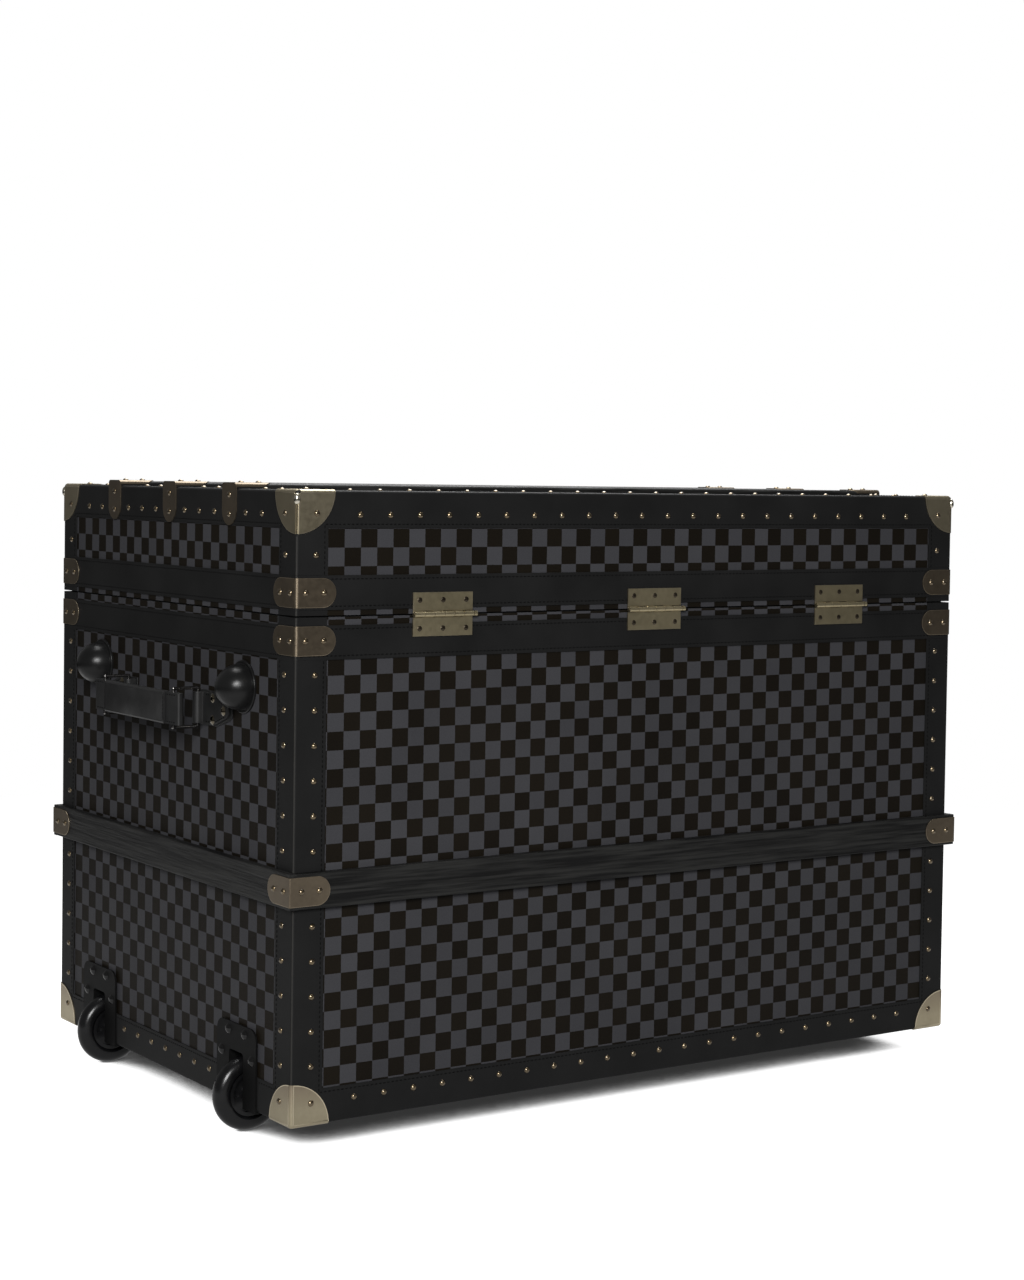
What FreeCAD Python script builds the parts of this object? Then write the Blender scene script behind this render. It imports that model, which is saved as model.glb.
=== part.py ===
import FreeCAD, Part
import math
import os

import Sketcher
from types import SimpleNamespace

# Wardrobe trunk on wheels, in millimetres. X runs along the trunk, with the wheels at +X.
# Y runs from the locks at -Y to the hinges at +Y. Z is up, and Z = 0 is the floor that
# the wheels and the two floor feet stand on. The origin is below the trunk's middle.

SIZES = (
    ("trunk_length", 900, "outside, over the edge bindings"),
    ("trunk_width", 578, "outside, over the edge bindings"),
    ("body_height", 517, "underside of the body to its rim"),
    ("lid_height", 126.5, "rim of the lid to its top"),
    ("seam_gap", 1.6, "open line between body and lid"),
    ("ground_clearance", 29.3, "floor to the underside of the body"),
    ("board_thick", 9, "plywood of body and lid"),
    ("canvas_thick", 1, "coated canvas skin"),
    ("binding_thick", 1.5, "edge bindings and rim bands"),
    ("lining_thick", 1, "cloth lining"),
    ("tongue_rise", 7, "inner half of the body's wall above the rim"),
    ("tongue_thick", 4, "thickness of that tongue"),
    ("tongue_play", 0.5, "room round the tongue inside the lid"),
    ("edge_radius", 3, "round on the outer edges"),
    ("binding_width", 36.5, "each leg of an edge binding"),
    ("band_height", 35, "rim band of the body"),
    ("band_offset", 8.3, "body's rim to the near edge of its band"),
    ("lid_band_height", 35.3, "rim band of the lid"),
    ("lid_band_offset", 5.5, "lid's rim to the near edge of its band"),
    ("lid_leg_width", 38, "upright leg of the lid's edge binding"),
    ("plate_thick", 1, "pressed caps and clips"),
    ("cap_reach", 44, "corner cap, from the corner to its round edge"),
    ("cap_slit", 1.2, "open edge of a folded lid cap, on each face"),
    ("cap_notch_radius", 4.5, "open corner of a folded lid cap"),
    ("clip_reach", 46, "leg of a clip, from the corner to its round end"),
    ("clip_height", 30, "width of a clip"),
    ("body_clip_rise", 2, "middle of the body's rim band up to its clips"),
    ("batten_height", 36.5, "wooden belt round the body"),
    ("batten_proud", 7, "belt's face beyond the bindings"),
    ("batten_round", 1.2, "round on the edges of the belt"),
    ("batten_level", 241, "middle of the belt above the underside"),
    ("slat_width", 30, "wooden slats on the lid"),
    ("slat_thick", 5.5, "slat above the lid's bindings"),
    ("slat_round", 3.5, "round on the upper edges of a slat"),
    ("slat_clip_drop", 38.6, "end leg of a slat clip below the lid's top"),
    ("nail_pitch", 35.8, "spacing of the nails in a row"),
    ("nail_inset", 23, "row of nails from the trunk's edge"),
    ("nail_head_radius", 3.4, "domed nail head"),
    ("nail_head_height", 2.1, "domed nail head"),
    ("nail_shank_radius", 0.9, "nail shank"),
    ("nail_shank_length", 6, "nail shank below its head"),
    ("hinge_length", 73, "butt hinge, along its pin"),
    ("hinge_leaf_height", 22.8, "pin's axis to the leaf's edge"),
    ("hinge_leaf_thick", 1.6, "hinge leaf"),
    ("hinge_spacing", 273.4, "middle hinge to an outer one"),
    ("hinge_shift", 3, "outer hinges towards the wheels"),
    ("knuckle_radius", 2.9, "hinge barrel"),
    ("knuckle_play", 0.5, "gap between knuckles"),
    ("hinge_pin_radius", 1.5, "hinge pin"),
    ("running_play", 0.05, "radial play of a pin in its bore"),
    ("pin_head_length", 4, "round head of the hinge pin"),
    ("screw_row", 14.8, "hinge axis to the screws of a leaf"),
    ("screw_spacing", 28.5, "middle screw to an outer one"),
    ("screw_head_radius", 2.9, "screw head"),
    ("screw_head_height", 0.9, "raised screw head"),
    ("screw_slot_width", 0.7, "slot across a screw's head"),
    ("screw_slot_depth", 0.6, "slot below the crown of the head"),
    ("screw_shank_radius", 1.3, "screw shank"),
    ("screw_shank_length", 8, "screw shank below its head"),
    ("wheel_radius", 40, "over the tyre"),
    ("wheel_width", 21, "over the tyre"),
    ("wheel_inset", 12, "wheel's centre inside the end face"),
    ("wheel_spacing", 173, "middle of the trunk to a wheel's middle"),
    ("tyre_depth", 16, "tyre, from its tread to the rim"),
    ("tyre_round", 10.3, "round on the tyre's shoulders"),
    ("tyre_inner_round", 4, "round on the tyre's inner edges"),
    ("rim_width", 16, "wheel hub at its rim"),
    ("web_width", 8, "wheel hub between rim and boss"),
    ("hub_recess", 2, "depth of the round recesses in a hub's faces"),
    ("boss_radius", 10, "wheel hub round the axle"),
    ("boss_width", 30, "wheel hub round the axle"),
    ("axle_radius", 4, "wheel axle"),
    ("axle_head_radius", 6, "wheel axle's heads"),
    ("axle_head_thick", 2.5, "wheel axle's heads"),
    ("well_slot_width", 32, "wheel slot in its housing"),
    ("well_slot_height", 55.7, "top of the wheel slot above the underside"),
    ("well_slot_round", 4, "upper corners of the wheel slot"),
    ("well_depth", 55, "housing behind the end face"),
    ("well_wall", 1.5, "pressed steel of the housing"),
    ("housing_plate_width", 88, "face plate of a housing"),
    ("housing_plate_height", 84.7, "face plate above the underside"),
    ("housing_plate_thick", 2, "face plate of a housing"),
    ("housing_plate_round", 13, "upper corners of the face plate"),
    ("housing_foot_depth", 60, "flange under the body"),
    ("bolt_upper_spread", 18, "wheel's middle to an upper bolt"),
    ("bolt_upper_level", 76.3, "upper bolts above the underside"),
    ("bolt_lower_spread", 33.5, "wheel's middle to a lower bolt"),
    ("bolt_lower_level", 51.4, "lower bolts above the underside"),
    ("bolt_head_radius", 5.7, "housing bolts"),
    ("bolt_head_height", 3, "housing bolts"),
    ("bolt_shank_radius", 3, "housing bolts"),
    ("bolt_shank_length", 17, "housing bolts"),
    ("dome_drop", 78.1, "rim down to the middle of an end foot"),
    ("foot_spacing", 176, "middle of the trunk to a foot"),
    ("foot_flange_radius", 28, "rubber foot's base ring"),
    ("foot_flange_thick", 2.5, "rubber foot's base ring"),
    ("dome_radius", 24.5, "rubber dome"),
    ("dome_proud", 30, "tip of a dome beyond the end face"),
    ("floor_foot_inset", 70, "floor feet from the plain end"),
    ("floor_foot_radius", 24, "floor foot where it leaves its ring"),
    ("floor_foot_sole", 17, "flat sole of a floor foot"),
    ("stud_radius", 3, "stud moulded into a foot"),
    ("stud_length", 16, "stud moulded into a foot"),
    ("stud_play", 0.3, "radial room round a stud"),
    ("handle_drop", 106.7, "rim down to the middle of a handle"),
    ("handle_spacing", 87, "middle of the trunk to a handle ring"),
    ("grip_half", 75, "middle to the end of the padded grip"),
    ("grip_height", 35, "padded grip"),
    ("grip_thick", 10, "padded grip"),
    ("grip_wrap", 18.5, "end wrap beyond the ring's wire"),
    ("wrap_thick", 8, "end wrap round the ring's wire"),
    ("ring_root", 7.5, "ring's hinge line beyond the end face"),
    ("ring_reach", 28.5, "ring's hinge line to the grip's wire"),
    ("ring_height", 41.5, "ring, between wire centres"),
    ("wire_radius", 1.9, "ring wire"),
    ("wire_play", 0.4, "radial room round a ring's wire"),
    ("tab_half_height", 17, "handle tab"),
    ("tab_length", 63, "handle tab, hinge line to its tip"),
    ("tab_thick", 3, "handle tab"),
    ("tab_loop_radius", 5.4, "handle tab's loop round the ring"),
    ("tab_tip_half_height", 8, "handle tab's blunt tip"),
    ("tab_shoulder", 30, "handle tab, hinge line to where it narrows"),
    ("backing_thick", 2, "leather backing under a tab"),
    ("backing_margin", 3.5, "backing beyond the tab"),
    ("tab_rivet_radius", 5.2, "handle rivets"),
    ("tab_rivet_spread", 11.6, "handle rivets above and below the middle"),
    ("latch_spacing", 273.4, "middle latch to an outer one"),
    ("latch_case_width", 56, "latch case"),
    ("latch_case_thick", 6, "latch case"),
    ("latch_case_top", 12, "rim down to the case"),
    ("latch_case_height", 50, "latch case"),
    ("channel_width", 9, "open slot in the case for the staple"),
    ("channel_depth", 25, "top of the case to the slot's end"),
    ("staple_width", 6, "staple on the back of a hasp"),
    ("staple_height", 10, "staple on the back of a hasp"),
    ("staple_drop", 28, "rim down to the staple's middle"),
    ("bolt_bar", 3, "sliding bolt, square"),
    ("bolt_bar_length", 16, "sliding bolt"),
    ("bolt_throw", 10.5, "travel of a sliding bolt"),
    ("bolt_play", 0.3, "room round a sliding bolt"),
    ("hasp_width", 32, "hinged hasp"),
    ("hasp_thick", 2.4, "hinged hasp"),
    ("hasp_drop", 58, "rim down to the hasp's tip"),
    ("hasp_axis_rise", 14, "rim up to the hasp's hinge line"),
    ("hasp_axis_out", 6.4, "hasp's hinge line beyond the lid's face"),
    ("hasp_knuckle_radius", 3.7, "hasp hinge barrel"),
    ("hasp_pin_radius", 1.8, "hasp hinge pin"),
    ("hasp_plate_height", 42, "rim up to the hasp plate's top"),
    ("hasp_plate_thick", 2, "hasp plate"),
    ("key_radius", 6.5, "key cylinder"),
    ("key_proud", 1.6, "key cylinder's nose beyond the case"),
    ("key_slot_width", 1.6, "key slot"),
    ("key_slot_length", 8, "key slot"),
    ("knob_radius", 3.5, "thumb knob of a side bolt"),
    ("knob_height", 3.4, "thumb knob beyond the case"),
    ("cabinet_start", 90, "middle of the trunk to the drawer cabinet"),
    ("cabinet_board", 8, "drawer cabinet's boards"),
    ("cabinet_rim_gap", 20, "drawer cabinet's front below the rim"),
    ("drawer_play", 0.4, "room round a drawer"),
    ("drawer_wall", 6, "drawer's sides and bottom"),
    ("drawer_front", 10, "drawer's front"),
    ("pull_width", 60, "leather pull on a drawer"),
    ("pull_height", 14, "leather pull on a drawer"),
    ("pull_thick", 3, "leather pull on a drawer"),
    ("rail_from_end", 65, "plain end to the hanging rail"),
    ("rail_level", 262, "hanging rail above the underside"),
    ("rail_radius", 10, "hanging rail"),
    ("rail_wall", 1.5, "hanging rail's tube wall"),
    ("socket_radius", 17, "hanging rail's end sockets"),
    ("socket_thick", 3, "hanging rail's end sockets"),
    ("socket_cup", 12, "depth of a socket's cup"),
)

doc = FreeCAD.newDocument("WardrobeTrunk")
sheet = doc.addObject("Spreadsheet::Sheet", "Sizes")
for row, (alias, value, meaning) in enumerate(SIZES, start=1):
    sheet.set(f"A{row}", alias)
    sheet.set(f"B{row}", str(value))
    sheet.set(f"C{row}", meaning)
    sheet.setAlias(f"B{row}", alias)
doc.recompute()


class Size:
    """A size with its value in millimetres and the sheet expression that gives it."""

    def __init__(self, value, text=None):
        self.value = float(value)
        self.text = f"{self.value:.10g}" if text is None else text

    def __add__(self, other):
        other = as_size(other)
        return Size(self.value + other.value, f"({self.text} + {other.text})")

    def __sub__(self, other):
        other = as_size(other)
        return Size(self.value - other.value, f"({self.text} - {other.text})")

    def __mul__(self, other):
        other = as_size(other)
        return Size(self.value * other.value, f"({self.text} * {other.text})")

    def __truediv__(self, other):
        other = as_size(other)
        return Size(self.value / other.value, f"({self.text} / {other.text})")

    def __rsub__(self, other):
        return as_size(other) - self

    def __neg__(self):
        return Size(-self.value, f"(0 - {self.text})")

    __radd__ = __add__
    __rmul__ = __mul__


def as_size(thing):
    return thing if isinstance(thing, Size) else Size(thing)


s = SimpleNamespace(**{a: Size(sheet.get(a), f"Sizes.{a}") for a, _, _ in SIZES})

AXES = ("x", "y", "z")
TURN_FROM_Z = {
    "x": FreeCAD.Rotation(FreeCAD.Vector(0, 1, 0), 90),
    "y": FreeCAD.Rotation(FreeCAD.Vector(1, 0, 0), -90),
    "z": FreeCAD.Rotation(),
}


def block(name, x, y, z):
    """A box. Each of x, y and z is a pair of sizes, from low to high."""
    box = doc.addObject("Part::Box", name)
    for side, axis, (low, high) in zip(("Length", "Width", "Height"), AXES, (x, y, z)):
        low = as_size(low)
        box.setExpression(side, (as_size(high) - low).text)
        box.setExpression("Placement.Base." + axis, low.text)
    return box


def rod(name, axis, centre, radius, span):
    """A cylinder along an axis. centre holds its other two coordinates, in X, Y, Z order."""
    cylinder = doc.addObject("Part::Cylinder", name)
    cylinder.Placement = FreeCAD.Placement(FreeCAD.Vector(), TURN_FROM_Z[axis])
    low, high = as_size(span[0]), as_size(span[1])
    cylinder.setExpression("Radius", as_size(radius).text)
    cylinder.setExpression("Height", (high - low).text)
    cylinder.setExpression("Placement.Base." + axis, low.text)
    for other, place in zip([a for a in AXES if a != axis], centre):
        cylinder.setExpression("Placement.Base." + other, as_size(place).text)
    return cylinder


def joined(name, parts):
    """All the parts fused into one shape."""
    fuse = doc.addObject("Part::MultiFuse", name)
    fuse.Shapes = parts
    fuse.Refine = True
    return fuse


def cut(name, base, tools):
    """base less all the tools."""
    result = doc.addObject("Part::Cut", name)
    result.Base = base
    result.Tool = tools[0] if len(tools) == 1 else joined(name + "_tools", tools)
    result.Refine = True
    return result


def shared(name, parts):
    """What all the parts have in common."""
    common = doc.addObject("Part::MultiCommon", name)
    common.Shapes = parts
    common.Refine = True
    return common


def group(name, parts):
    """Separate solids kept together."""
    compound = doc.addObject("Part::Compound", name)
    compound.Links = parts
    return compound


def rounded(name, base, radius, wanted):
    """base with a round on each edge whose bounding box is wanted."""
    doc.recompute()
    fillet = doc.addObject("Part::Fillet", name)
    fillet.Base = base
    radius = as_size(radius).value
    fillet.Edges = [
        (index, radius, radius)
        for index, edge in enumerate(base.Shape.Edges, start=1)
        if wanted(edge.BoundBox)
    ]
    return fillet


def sided(sign, low, high):
    """The pair low, high on the side that sign says."""
    return (low, high) if sign > 0 else (-as_size(high), -as_size(low))


def around(middle, half):
    """The pair of limits half each side of the middle."""
    return (as_size(middle) - half, as_size(middle) + half)


def at_sign(sign, size):
    return as_size(size) if sign > 0 else -as_size(size)


nodes = []


def node(name, shape_object):
    """Makes an object one of the trunk's pieces, with that name."""
    shape_object.Label = name
    nodes.append(shape_object)
    return shape_object


SIDES = (1, -1)
CORNERS = [(sx, sy) for sx in SIDES for sy in SIDES]
FAR = Size(2000)

# Main planes. half_x and half_y are the faces of the edge bindings.
half_x = s.trunk_length / 2
half_y = s.trunk_width / 2
under_z = s.ground_clearance
seam_z = under_z + s.body_height
lid_z = seam_z + s.seam_gap
top_z = lid_z + s.lid_height
skin = s.binding_thick + s.canvas_thick
case_x = half_x - skin
case_y = half_y - skin
inner_x = case_x - s.board_thick
inner_y = case_y - s.board_thick
case_under_z = under_z + skin
inner_under_z = case_under_z + s.board_thick
case_top_z = top_z - skin
inner_top_z = case_top_z - s.board_thick
lined_x = inner_x - s.lining_thick
lined_y = inner_y - s.lining_thick
lined_under_z = inner_under_z + s.lining_thick
lined_top_z = inner_top_z - s.lining_thick
tongue_z = seam_z + s.tongue_rise
wheel_x = half_x - s.wheel_inset
dome_z = seam_z - s.dome_drop
handle_z = seam_z - s.handle_drop


def tray(name, x, y, z):
    """A centred block, from -x to x and -y to y, between two levels."""
    return block(name, (-x, x), (-y, y), z)


# Wheel pockets and foot holes, cut through every layer of the body that they meet.
pocket_half = s.well_slot_width / 2 + s.well_wall + s.axle_head_thick + 0.5
pocket_top = under_z + s.well_slot_height + s.well_wall


def wheel_pockets(name):
    return [
        block(
            f"{name}_pocket_{i}",
            (half_x - s.well_depth, half_x + FAR),
            around(at_sign(sy, s.wheel_spacing), pocket_half),
            (under_z - FAR, pocket_top),
        )
        for i, sy in enumerate(SIDES)
    ]


floor_foot_x = s.floor_foot_inset - half_x
hole_radius = s.stud_radius + s.stud_play


def foot_holes(name):
    """Holes for the studs of the two end feet and the two floor feet."""
    holes = []
    for i, sy in enumerate(SIDES):
        y = at_sign(sy, s.foot_spacing)
        holes.append(rod(f"{name}_end_hole_{i}", "x", (y, dome_z), hole_radius, (0, half_x + FAR)))
        holes.append(
            rod(f"{name}_floor_hole_{i}", "z", (floor_foot_x, y), hole_radius, (under_z - FAR, seam_z / 2))
        )
    return holes


# Body: a plywood box whose wall is stepped at the rim, so that its inner half stands up
# as a tongue inside the lid.
body_case = cut(
    "BodyCase",
    joined(
        "BodyCaseBlank",
        [
            tray("BodyCaseOuter", case_x, case_y, (case_under_z, seam_z)),
            tray("BodyTongue", inner_x + s.tongue_thick, inner_y + s.tongue_thick, (case_under_z, tongue_z)),
        ],
    ),
    [tray("BodyHollow", inner_x, inner_y, (inner_under_z, tongue_z + FAR))]
    + wheel_pockets("BodyCase")
    + foot_holes("BodyCase"),
)
node("body_case", body_case)

node(
    "body_canvas",
    cut(
        "BodyCanvas",
        tray("BodyCanvasOuter", half_x - s.binding_thick, half_y - s.binding_thick, (under_z + s.binding_thick, seam_z)),
        [tray("BodyCanvasInner", case_x, case_y, (case_under_z, seam_z + FAR))]
        + wheel_pockets("BodyCanvas")
        + foot_holes("BodyCanvas"),
    ),
)

node(
    "body_lining",
    cut(
        "BodyLining",
        tray("BodyLiningOuter", inner_x, inner_y, (inner_under_z, tongue_z)),
        [tray("BodyLiningInner", lined_x, lined_y, (lined_under_z, tongue_z + FAR))]
        + wheel_pockets("BodyLining")
        + foot_holes("BodyLining"),
    ),
)

# Lid: a shallow plywood tray upside down, rebated inside to pass over the body's tongue.
rebate = s.tongue_thick + s.tongue_play
node(
    "lid_case",
    cut(
        "LidCase",
        tray("LidCaseOuter", case_x, case_y, (lid_z, case_top_z)),
        [
            tray("LidHollow", inner_x, inner_y, (lid_z - FAR, inner_top_z)),
            tray("LidRebate", inner_x + rebate, inner_y + rebate, (lid_z - FAR, tongue_z + s.tongue_play)),
        ],
    ),
)

node(
    "lid_canvas",
    cut(
        "LidCanvas",
        tray("LidCanvasOuter", half_x - s.binding_thick, half_y - s.binding_thick, (lid_z, top_z - s.binding_thick)),
        [tray("LidCanvasInner", case_x, case_y, (lid_z - FAR, case_top_z))],
    ),
)

lid_lining_z = tongue_z + s.tongue_play + 1.5
node(
    "lid_lining",
    cut(
        "LidLining",
        tray("LidLiningOuter", inner_x, inner_y, (lid_lining_z, inner_top_z)),
        [tray("LidLiningInner", lined_x, lined_y, (lid_z - FAR, lined_top_z))],
    ),
)


# Edge bindings and rim bands: one layer over the canvas, round on the outside.
def upright_or_level_with(level):
    """Picks the upright edges, and those round the face at that level."""
    return lambda box: box.ZLength > 50 or abs(box.ZMin - level.value) + box.ZLength < 0.01


def outer_form(name, offset, z, round_level):
    """The trunk half's outer form, offset outwards, with round edges."""
    base = tray(name + "_base", half_x + offset, half_y + offset, z)
    return rounded(name, base, s.edge_radius + offset, upright_or_level_with(round_level))


body_form = outer_form("BodyForm", 0, (under_z, seam_z), under_z)
lid_form = outer_form("LidForm", 0, (lid_z, top_z), top_z)
open_x = half_x - s.binding_width
open_y = half_y - s.binding_width
layer_x = half_x - s.binding_thick
layer_y = half_y - s.binding_thick

body_band = (seam_z - s.band_offset - s.band_height, seam_z - s.band_offset)
lid_band = (lid_z + s.lid_band_offset, lid_z + s.lid_band_offset + s.lid_band_height)
batten = around(under_z + s.batten_level, s.batten_height / 2)


def binding(name, form, core, face_z, end_z, layers):
    """The form's outer layer along its edges, without the levels that bands and battens take."""
    return cut(
        name,
        form,
        [
            core,
            block(name + "_end_window", (-FAR, FAR), (-open_y, open_y), face_z),
            block(name + "_side_window", (-open_x, open_x), (-FAR, FAR), face_z),
            block(name + "_flat_window", (-open_x, open_x), (-open_y, open_y), end_z),
        ]
        + [block(f"{name}_layer_{i}", (-FAR, FAR), (-FAR, FAR), level) for i, level in enumerate(layers)],
    )


node(
    "body_edge_binding",
    cut(
        "BodyBinding",
        binding(
            "BodyBindingFull",
            body_form,
            tray("BodyBindingCore", layer_x, layer_y, (under_z + s.binding_thick, seam_z + FAR)),
            (under_z + s.binding_width, seam_z + FAR),
            (under_z - FAR, seam_z),
            (body_band, batten),
        ),
        wheel_pockets("BodyBinding"),
    ),
)
node(
    "lid_edge_binding",
    binding(
        "LidBinding",
        lid_form,
        tray("LidBindingCore", layer_x, layer_y, (lid_z - FAR, top_z - s.binding_thick)),
        (lid_z - FAR, top_z - s.lid_leg_width),
        (lid_z, top_z + FAR),
        (lid_band,),
    ),
)


def rim_band(name, form, level):
    """A band right round one half of the trunk."""
    ring = block(name + "_level", (-FAR, FAR), (-FAR, FAR), level)
    core = tray(name + "_core", layer_x, layer_y, (level[0] - 1, level[1] + 1))
    return cut(name, shared(name + "_slice", [form, ring]), [core])


node("body_rim_band", rim_band("BodyBand", body_form, body_band))
node("lid_rim_band", rim_band("LidBand", lid_form, lid_band))

# Wooden belt round the body: two long battens, and two that fit between them.
batten_x = half_x + s.batten_proud
batten_y = half_y + s.batten_proud
battens = []
for i, side in enumerate(SIDES):
    long_one = block(f"LongBattenBlock_{i}", (-batten_x, batten_x), sided(side, layer_y, batten_y), batten)
    end_one = block(f"EndBattenBlock_{i}", sided(side, layer_x, batten_x), (-layer_y, layer_y), batten)
    battens.append(
        rounded(
            f"LongBatten_{i}",
            long_one,
            s.batten_round,
            lambda box: box.XLength > 500 and abs(box.YMin) > half_y.value,
        )
    )
    battens.append(
        rounded(
            f"EndBatten_{i}",
            end_one,
            s.batten_round,
            lambda box: box.YLength > 500 and abs(box.XMin) > half_x.value,
        )
    )
node("wooden_belt", group("WoodenBelt", battens))

# Slats along the lid. Each lies on the canvas between the bindings and over them at its ends.
slat_y = s.nail_pitch * 4
slat_places = (-slat_y, Size(0), slat_y)
slat_top_z = top_z + s.slat_thick
slats = []
for i, y in enumerate(slat_places):
    width = around(y, s.slat_width / 2)
    slat_block = block(f"SlatBlock_{i}", (-half_x, half_x), width, (top_z, slat_top_z))
    slats.append(
        joined(
            f"Slat_{i}",
            [
                rounded(
                    f"SlatTop_{i}",
                    slat_block,
                    s.slat_round,
                    lambda box: box.XLength > 500 and box.ZMin > top_z.value + 1,
                ),
                block(
                    f"SlatFoot_{i}",
                    (-(open_x - s.tongue_play), open_x - s.tongue_play),
                    width,
                    (top_z - s.binding_thick, top_z),
                ),
            ],
        )
    )
node("lid_slats", group("LidSlats", slats))


# Pressed metal: a thin skin over the outer form, kept only where a cap or clip covers it.
def metal_skin(name, form, z, round_level, core_z):
    shell = outer_form(name + "_over", s.plate_thick, z, round_level)
    filler = tray(name + "_filler", half_x - s.edge_radius, half_y - s.edge_radius, core_z)
    return cut(name, shell, [form, filler])


body_metal = metal_skin(
    "BodyMetal", body_form, (under_z - s.plate_thick, seam_z), under_z - s.plate_thick, (seam_z, seam_z + 1)
)
lid_metal = metal_skin(
    "LidMetal", lid_form, (lid_z, top_z + s.plate_thick), top_z + s.plate_thick, (lid_z - 1, lid_z)
)
plate_span = s.plate_thick * 3


def cap_regions(name, level):
    """A quarter disc on each of the three faces that meet at each corner."""
    regions = []
    for i, (sx, sy) in enumerate(CORNERS):
        x = at_sign(sx, half_x)
        y = at_sign(sy, half_y)
        regions += [
            rod(f"{name}_x_{i}", "x", (y, level), s.cap_reach, around(x, plate_span)),
            rod(f"{name}_y_{i}", "y", (x, level), s.cap_reach, around(y, plate_span)),
            rod(f"{name}_z_{i}", "z", (x, y), s.cap_reach, around(level, plate_span)),
        ]
    return joined(name, regions)


def clip_regions(name, x, y, level, reach, depth):
    """At each corner, two legs with round ends, centred on a level."""
    regions = []
    half = s.clip_height / 2
    for i, (sx, sy) in enumerate(CORNERS):
        bend = reach - half
        leg_x = sided(sx, x - bend, x + depth)
        leg_y = sided(sy, y - bend, y + depth)
        end_x = at_sign(sx, x - bend)
        end_y = at_sign(sy, y - bend)
        regions += [
            block(f"{name}_x_leg_{i}", leg_x, sided(sy, y - depth, y + depth), around(level, half)),
            block(f"{name}_y_leg_{i}", sided(sx, x - depth, x + depth), leg_y, around(level, half)),
            rod(f"{name}_x_end_{i}", "y", (end_x, level), half, sided(sy, y - depth, y + depth)),
            rod(f"{name}_y_end_{i}", "x", (end_y, level), half, sided(sx, x - depth, x + depth)),
        ]
    return joined(name, regions)


node("body_corner_caps", shared("BodyCaps", [body_metal, cap_regions("BodyCapRegion", under_z)]))

slit_tools = []
for i, (sx, sy) in enumerate(CORNERS):
    slit_tools.append(
        block(
            f"CapSlit_{i}",
            sided(sx, half_x - s.cap_slit, half_x + plate_span),
            sided(sy, half_y - s.cap_slit, half_y + plate_span),
            (top_z - s.cap_reach - 1, top_z - s.edge_radius),
        )
    )
    notch = doc.addObject("Part::Sphere", f"CapNotch_{i}")
    notch.setExpression("Radius", s.cap_notch_radius.text)
    for axis, place in zip(AXES, (at_sign(sx, half_x), at_sign(sy, half_y), top_z)):
        notch.setExpression("Placement.Base." + axis, place.text)
    slit_tools.append(notch)
node(
    "lid_corner_caps",
    cut("LidCaps", shared("LidCapBlanks", [lid_metal, cap_regions("LidCapRegion", top_z)]), slit_tools),
)

body_clip_z = (body_band[0] + body_band[1]) / 2 + s.body_clip_rise
lid_clip_z = (lid_band[0] + lid_band[1]) / 2
batten_z = under_z + s.batten_level
node(
    "body_rim_clips",
    shared(
        "BodyClips",
        [body_metal, clip_regions("BodyClipRegion", half_x, half_y, body_clip_z, s.clip_reach, plate_span)],
    ),
)
node(
    "lid_rim_clips",
    shared(
        "LidClips",
        [lid_metal, clip_regions("LidClipRegion", half_x, half_y, lid_clip_z, s.clip_reach, plate_span)],
    ),
)


def belt_block(name, offset):
    return tray(name, batten_x + offset, batten_y + offset, (batten[0] - 1, batten[1] + 1))


belt_metal = cut(
    "BeltMetal",
    rounded("BeltMetalOuter", belt_block("BeltMetalBlock", s.plate_thick), 1, lambda box: box.ZLength > 30),
    [belt_block("BeltCore", 0)],
)
node(
    "belt_clips",
    shared(
        "BeltClips",
        [belt_metal, clip_regions("BeltClipRegion", batten_x, batten_y, batten_z, s.clip_reach, plate_span)],
    ),
)

# Slat clips: each folded over the end and shoulders of a slat, with a leg down the lid's end.
slat_clips = []
half_clip = s.slat_width / 2 + s.plate_thick
for i, y in enumerate(slat_places):
    for j, sx in enumerate(SIDES):
        name = f"SlatClip_{i}_{j}"
        drop_z = top_z - s.slat_clip_drop + half_clip
        reach_x = half_x - s.clip_reach + half_clip
        over = slat_top_z + s.plate_thick
        shoulder_z = slat_top_z - s.slat_round
        width = around(y, half_clip)
        end_x = half_x + s.plate_thick
        shoe = rounded(
            name + "_shoe",
            block(name + "_shoe_block", sided(sx, reach_x - half_clip - 1, end_x), width, (top_z, over)),
            s.slat_round + s.plate_thick,
            lambda box: box.XLength > 30 and box.ZMin > slat_top_z.value,
        )
        reach = joined(
            name + "_reach",
            [
                block(name + "_reach_block", sided(sx, reach_x, end_x), width, (shoulder_z, over)),
                rod(name + "_reach_end", "z", (at_sign(sx, reach_x), y), half_clip, (shoulder_z, over)),
            ],
        )
        slat_clips.append(
            joined(
                name,
                [
                    cut(name + "_top", shared(name + "_top_form", [shoe, reach]), [slats[i]]),
                    block(name + "_drop", sided(sx, half_x, end_x), width, (drop_z, shoulder_z)),
                    rod(name + "_drop_end", "x", (y, drop_z), half_clip, sided(sx, half_x, end_x)),
                ],
            )
        )
node("slat_clips", group("SlatClips", slat_clips))


# Butt hinges: three knuckles on each leaf, and one pin.
hinge_y = half_y + s.knuckle_radius
hinge_z = seam_z + s.seam_gap / 2
hinge_places = (s.hinge_shift - s.hinge_spacing, Size(0), s.hinge_shift + s.hinge_spacing)
KNUCKLES = 6
knuckle = s.hinge_length / KNUCKLES


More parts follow.
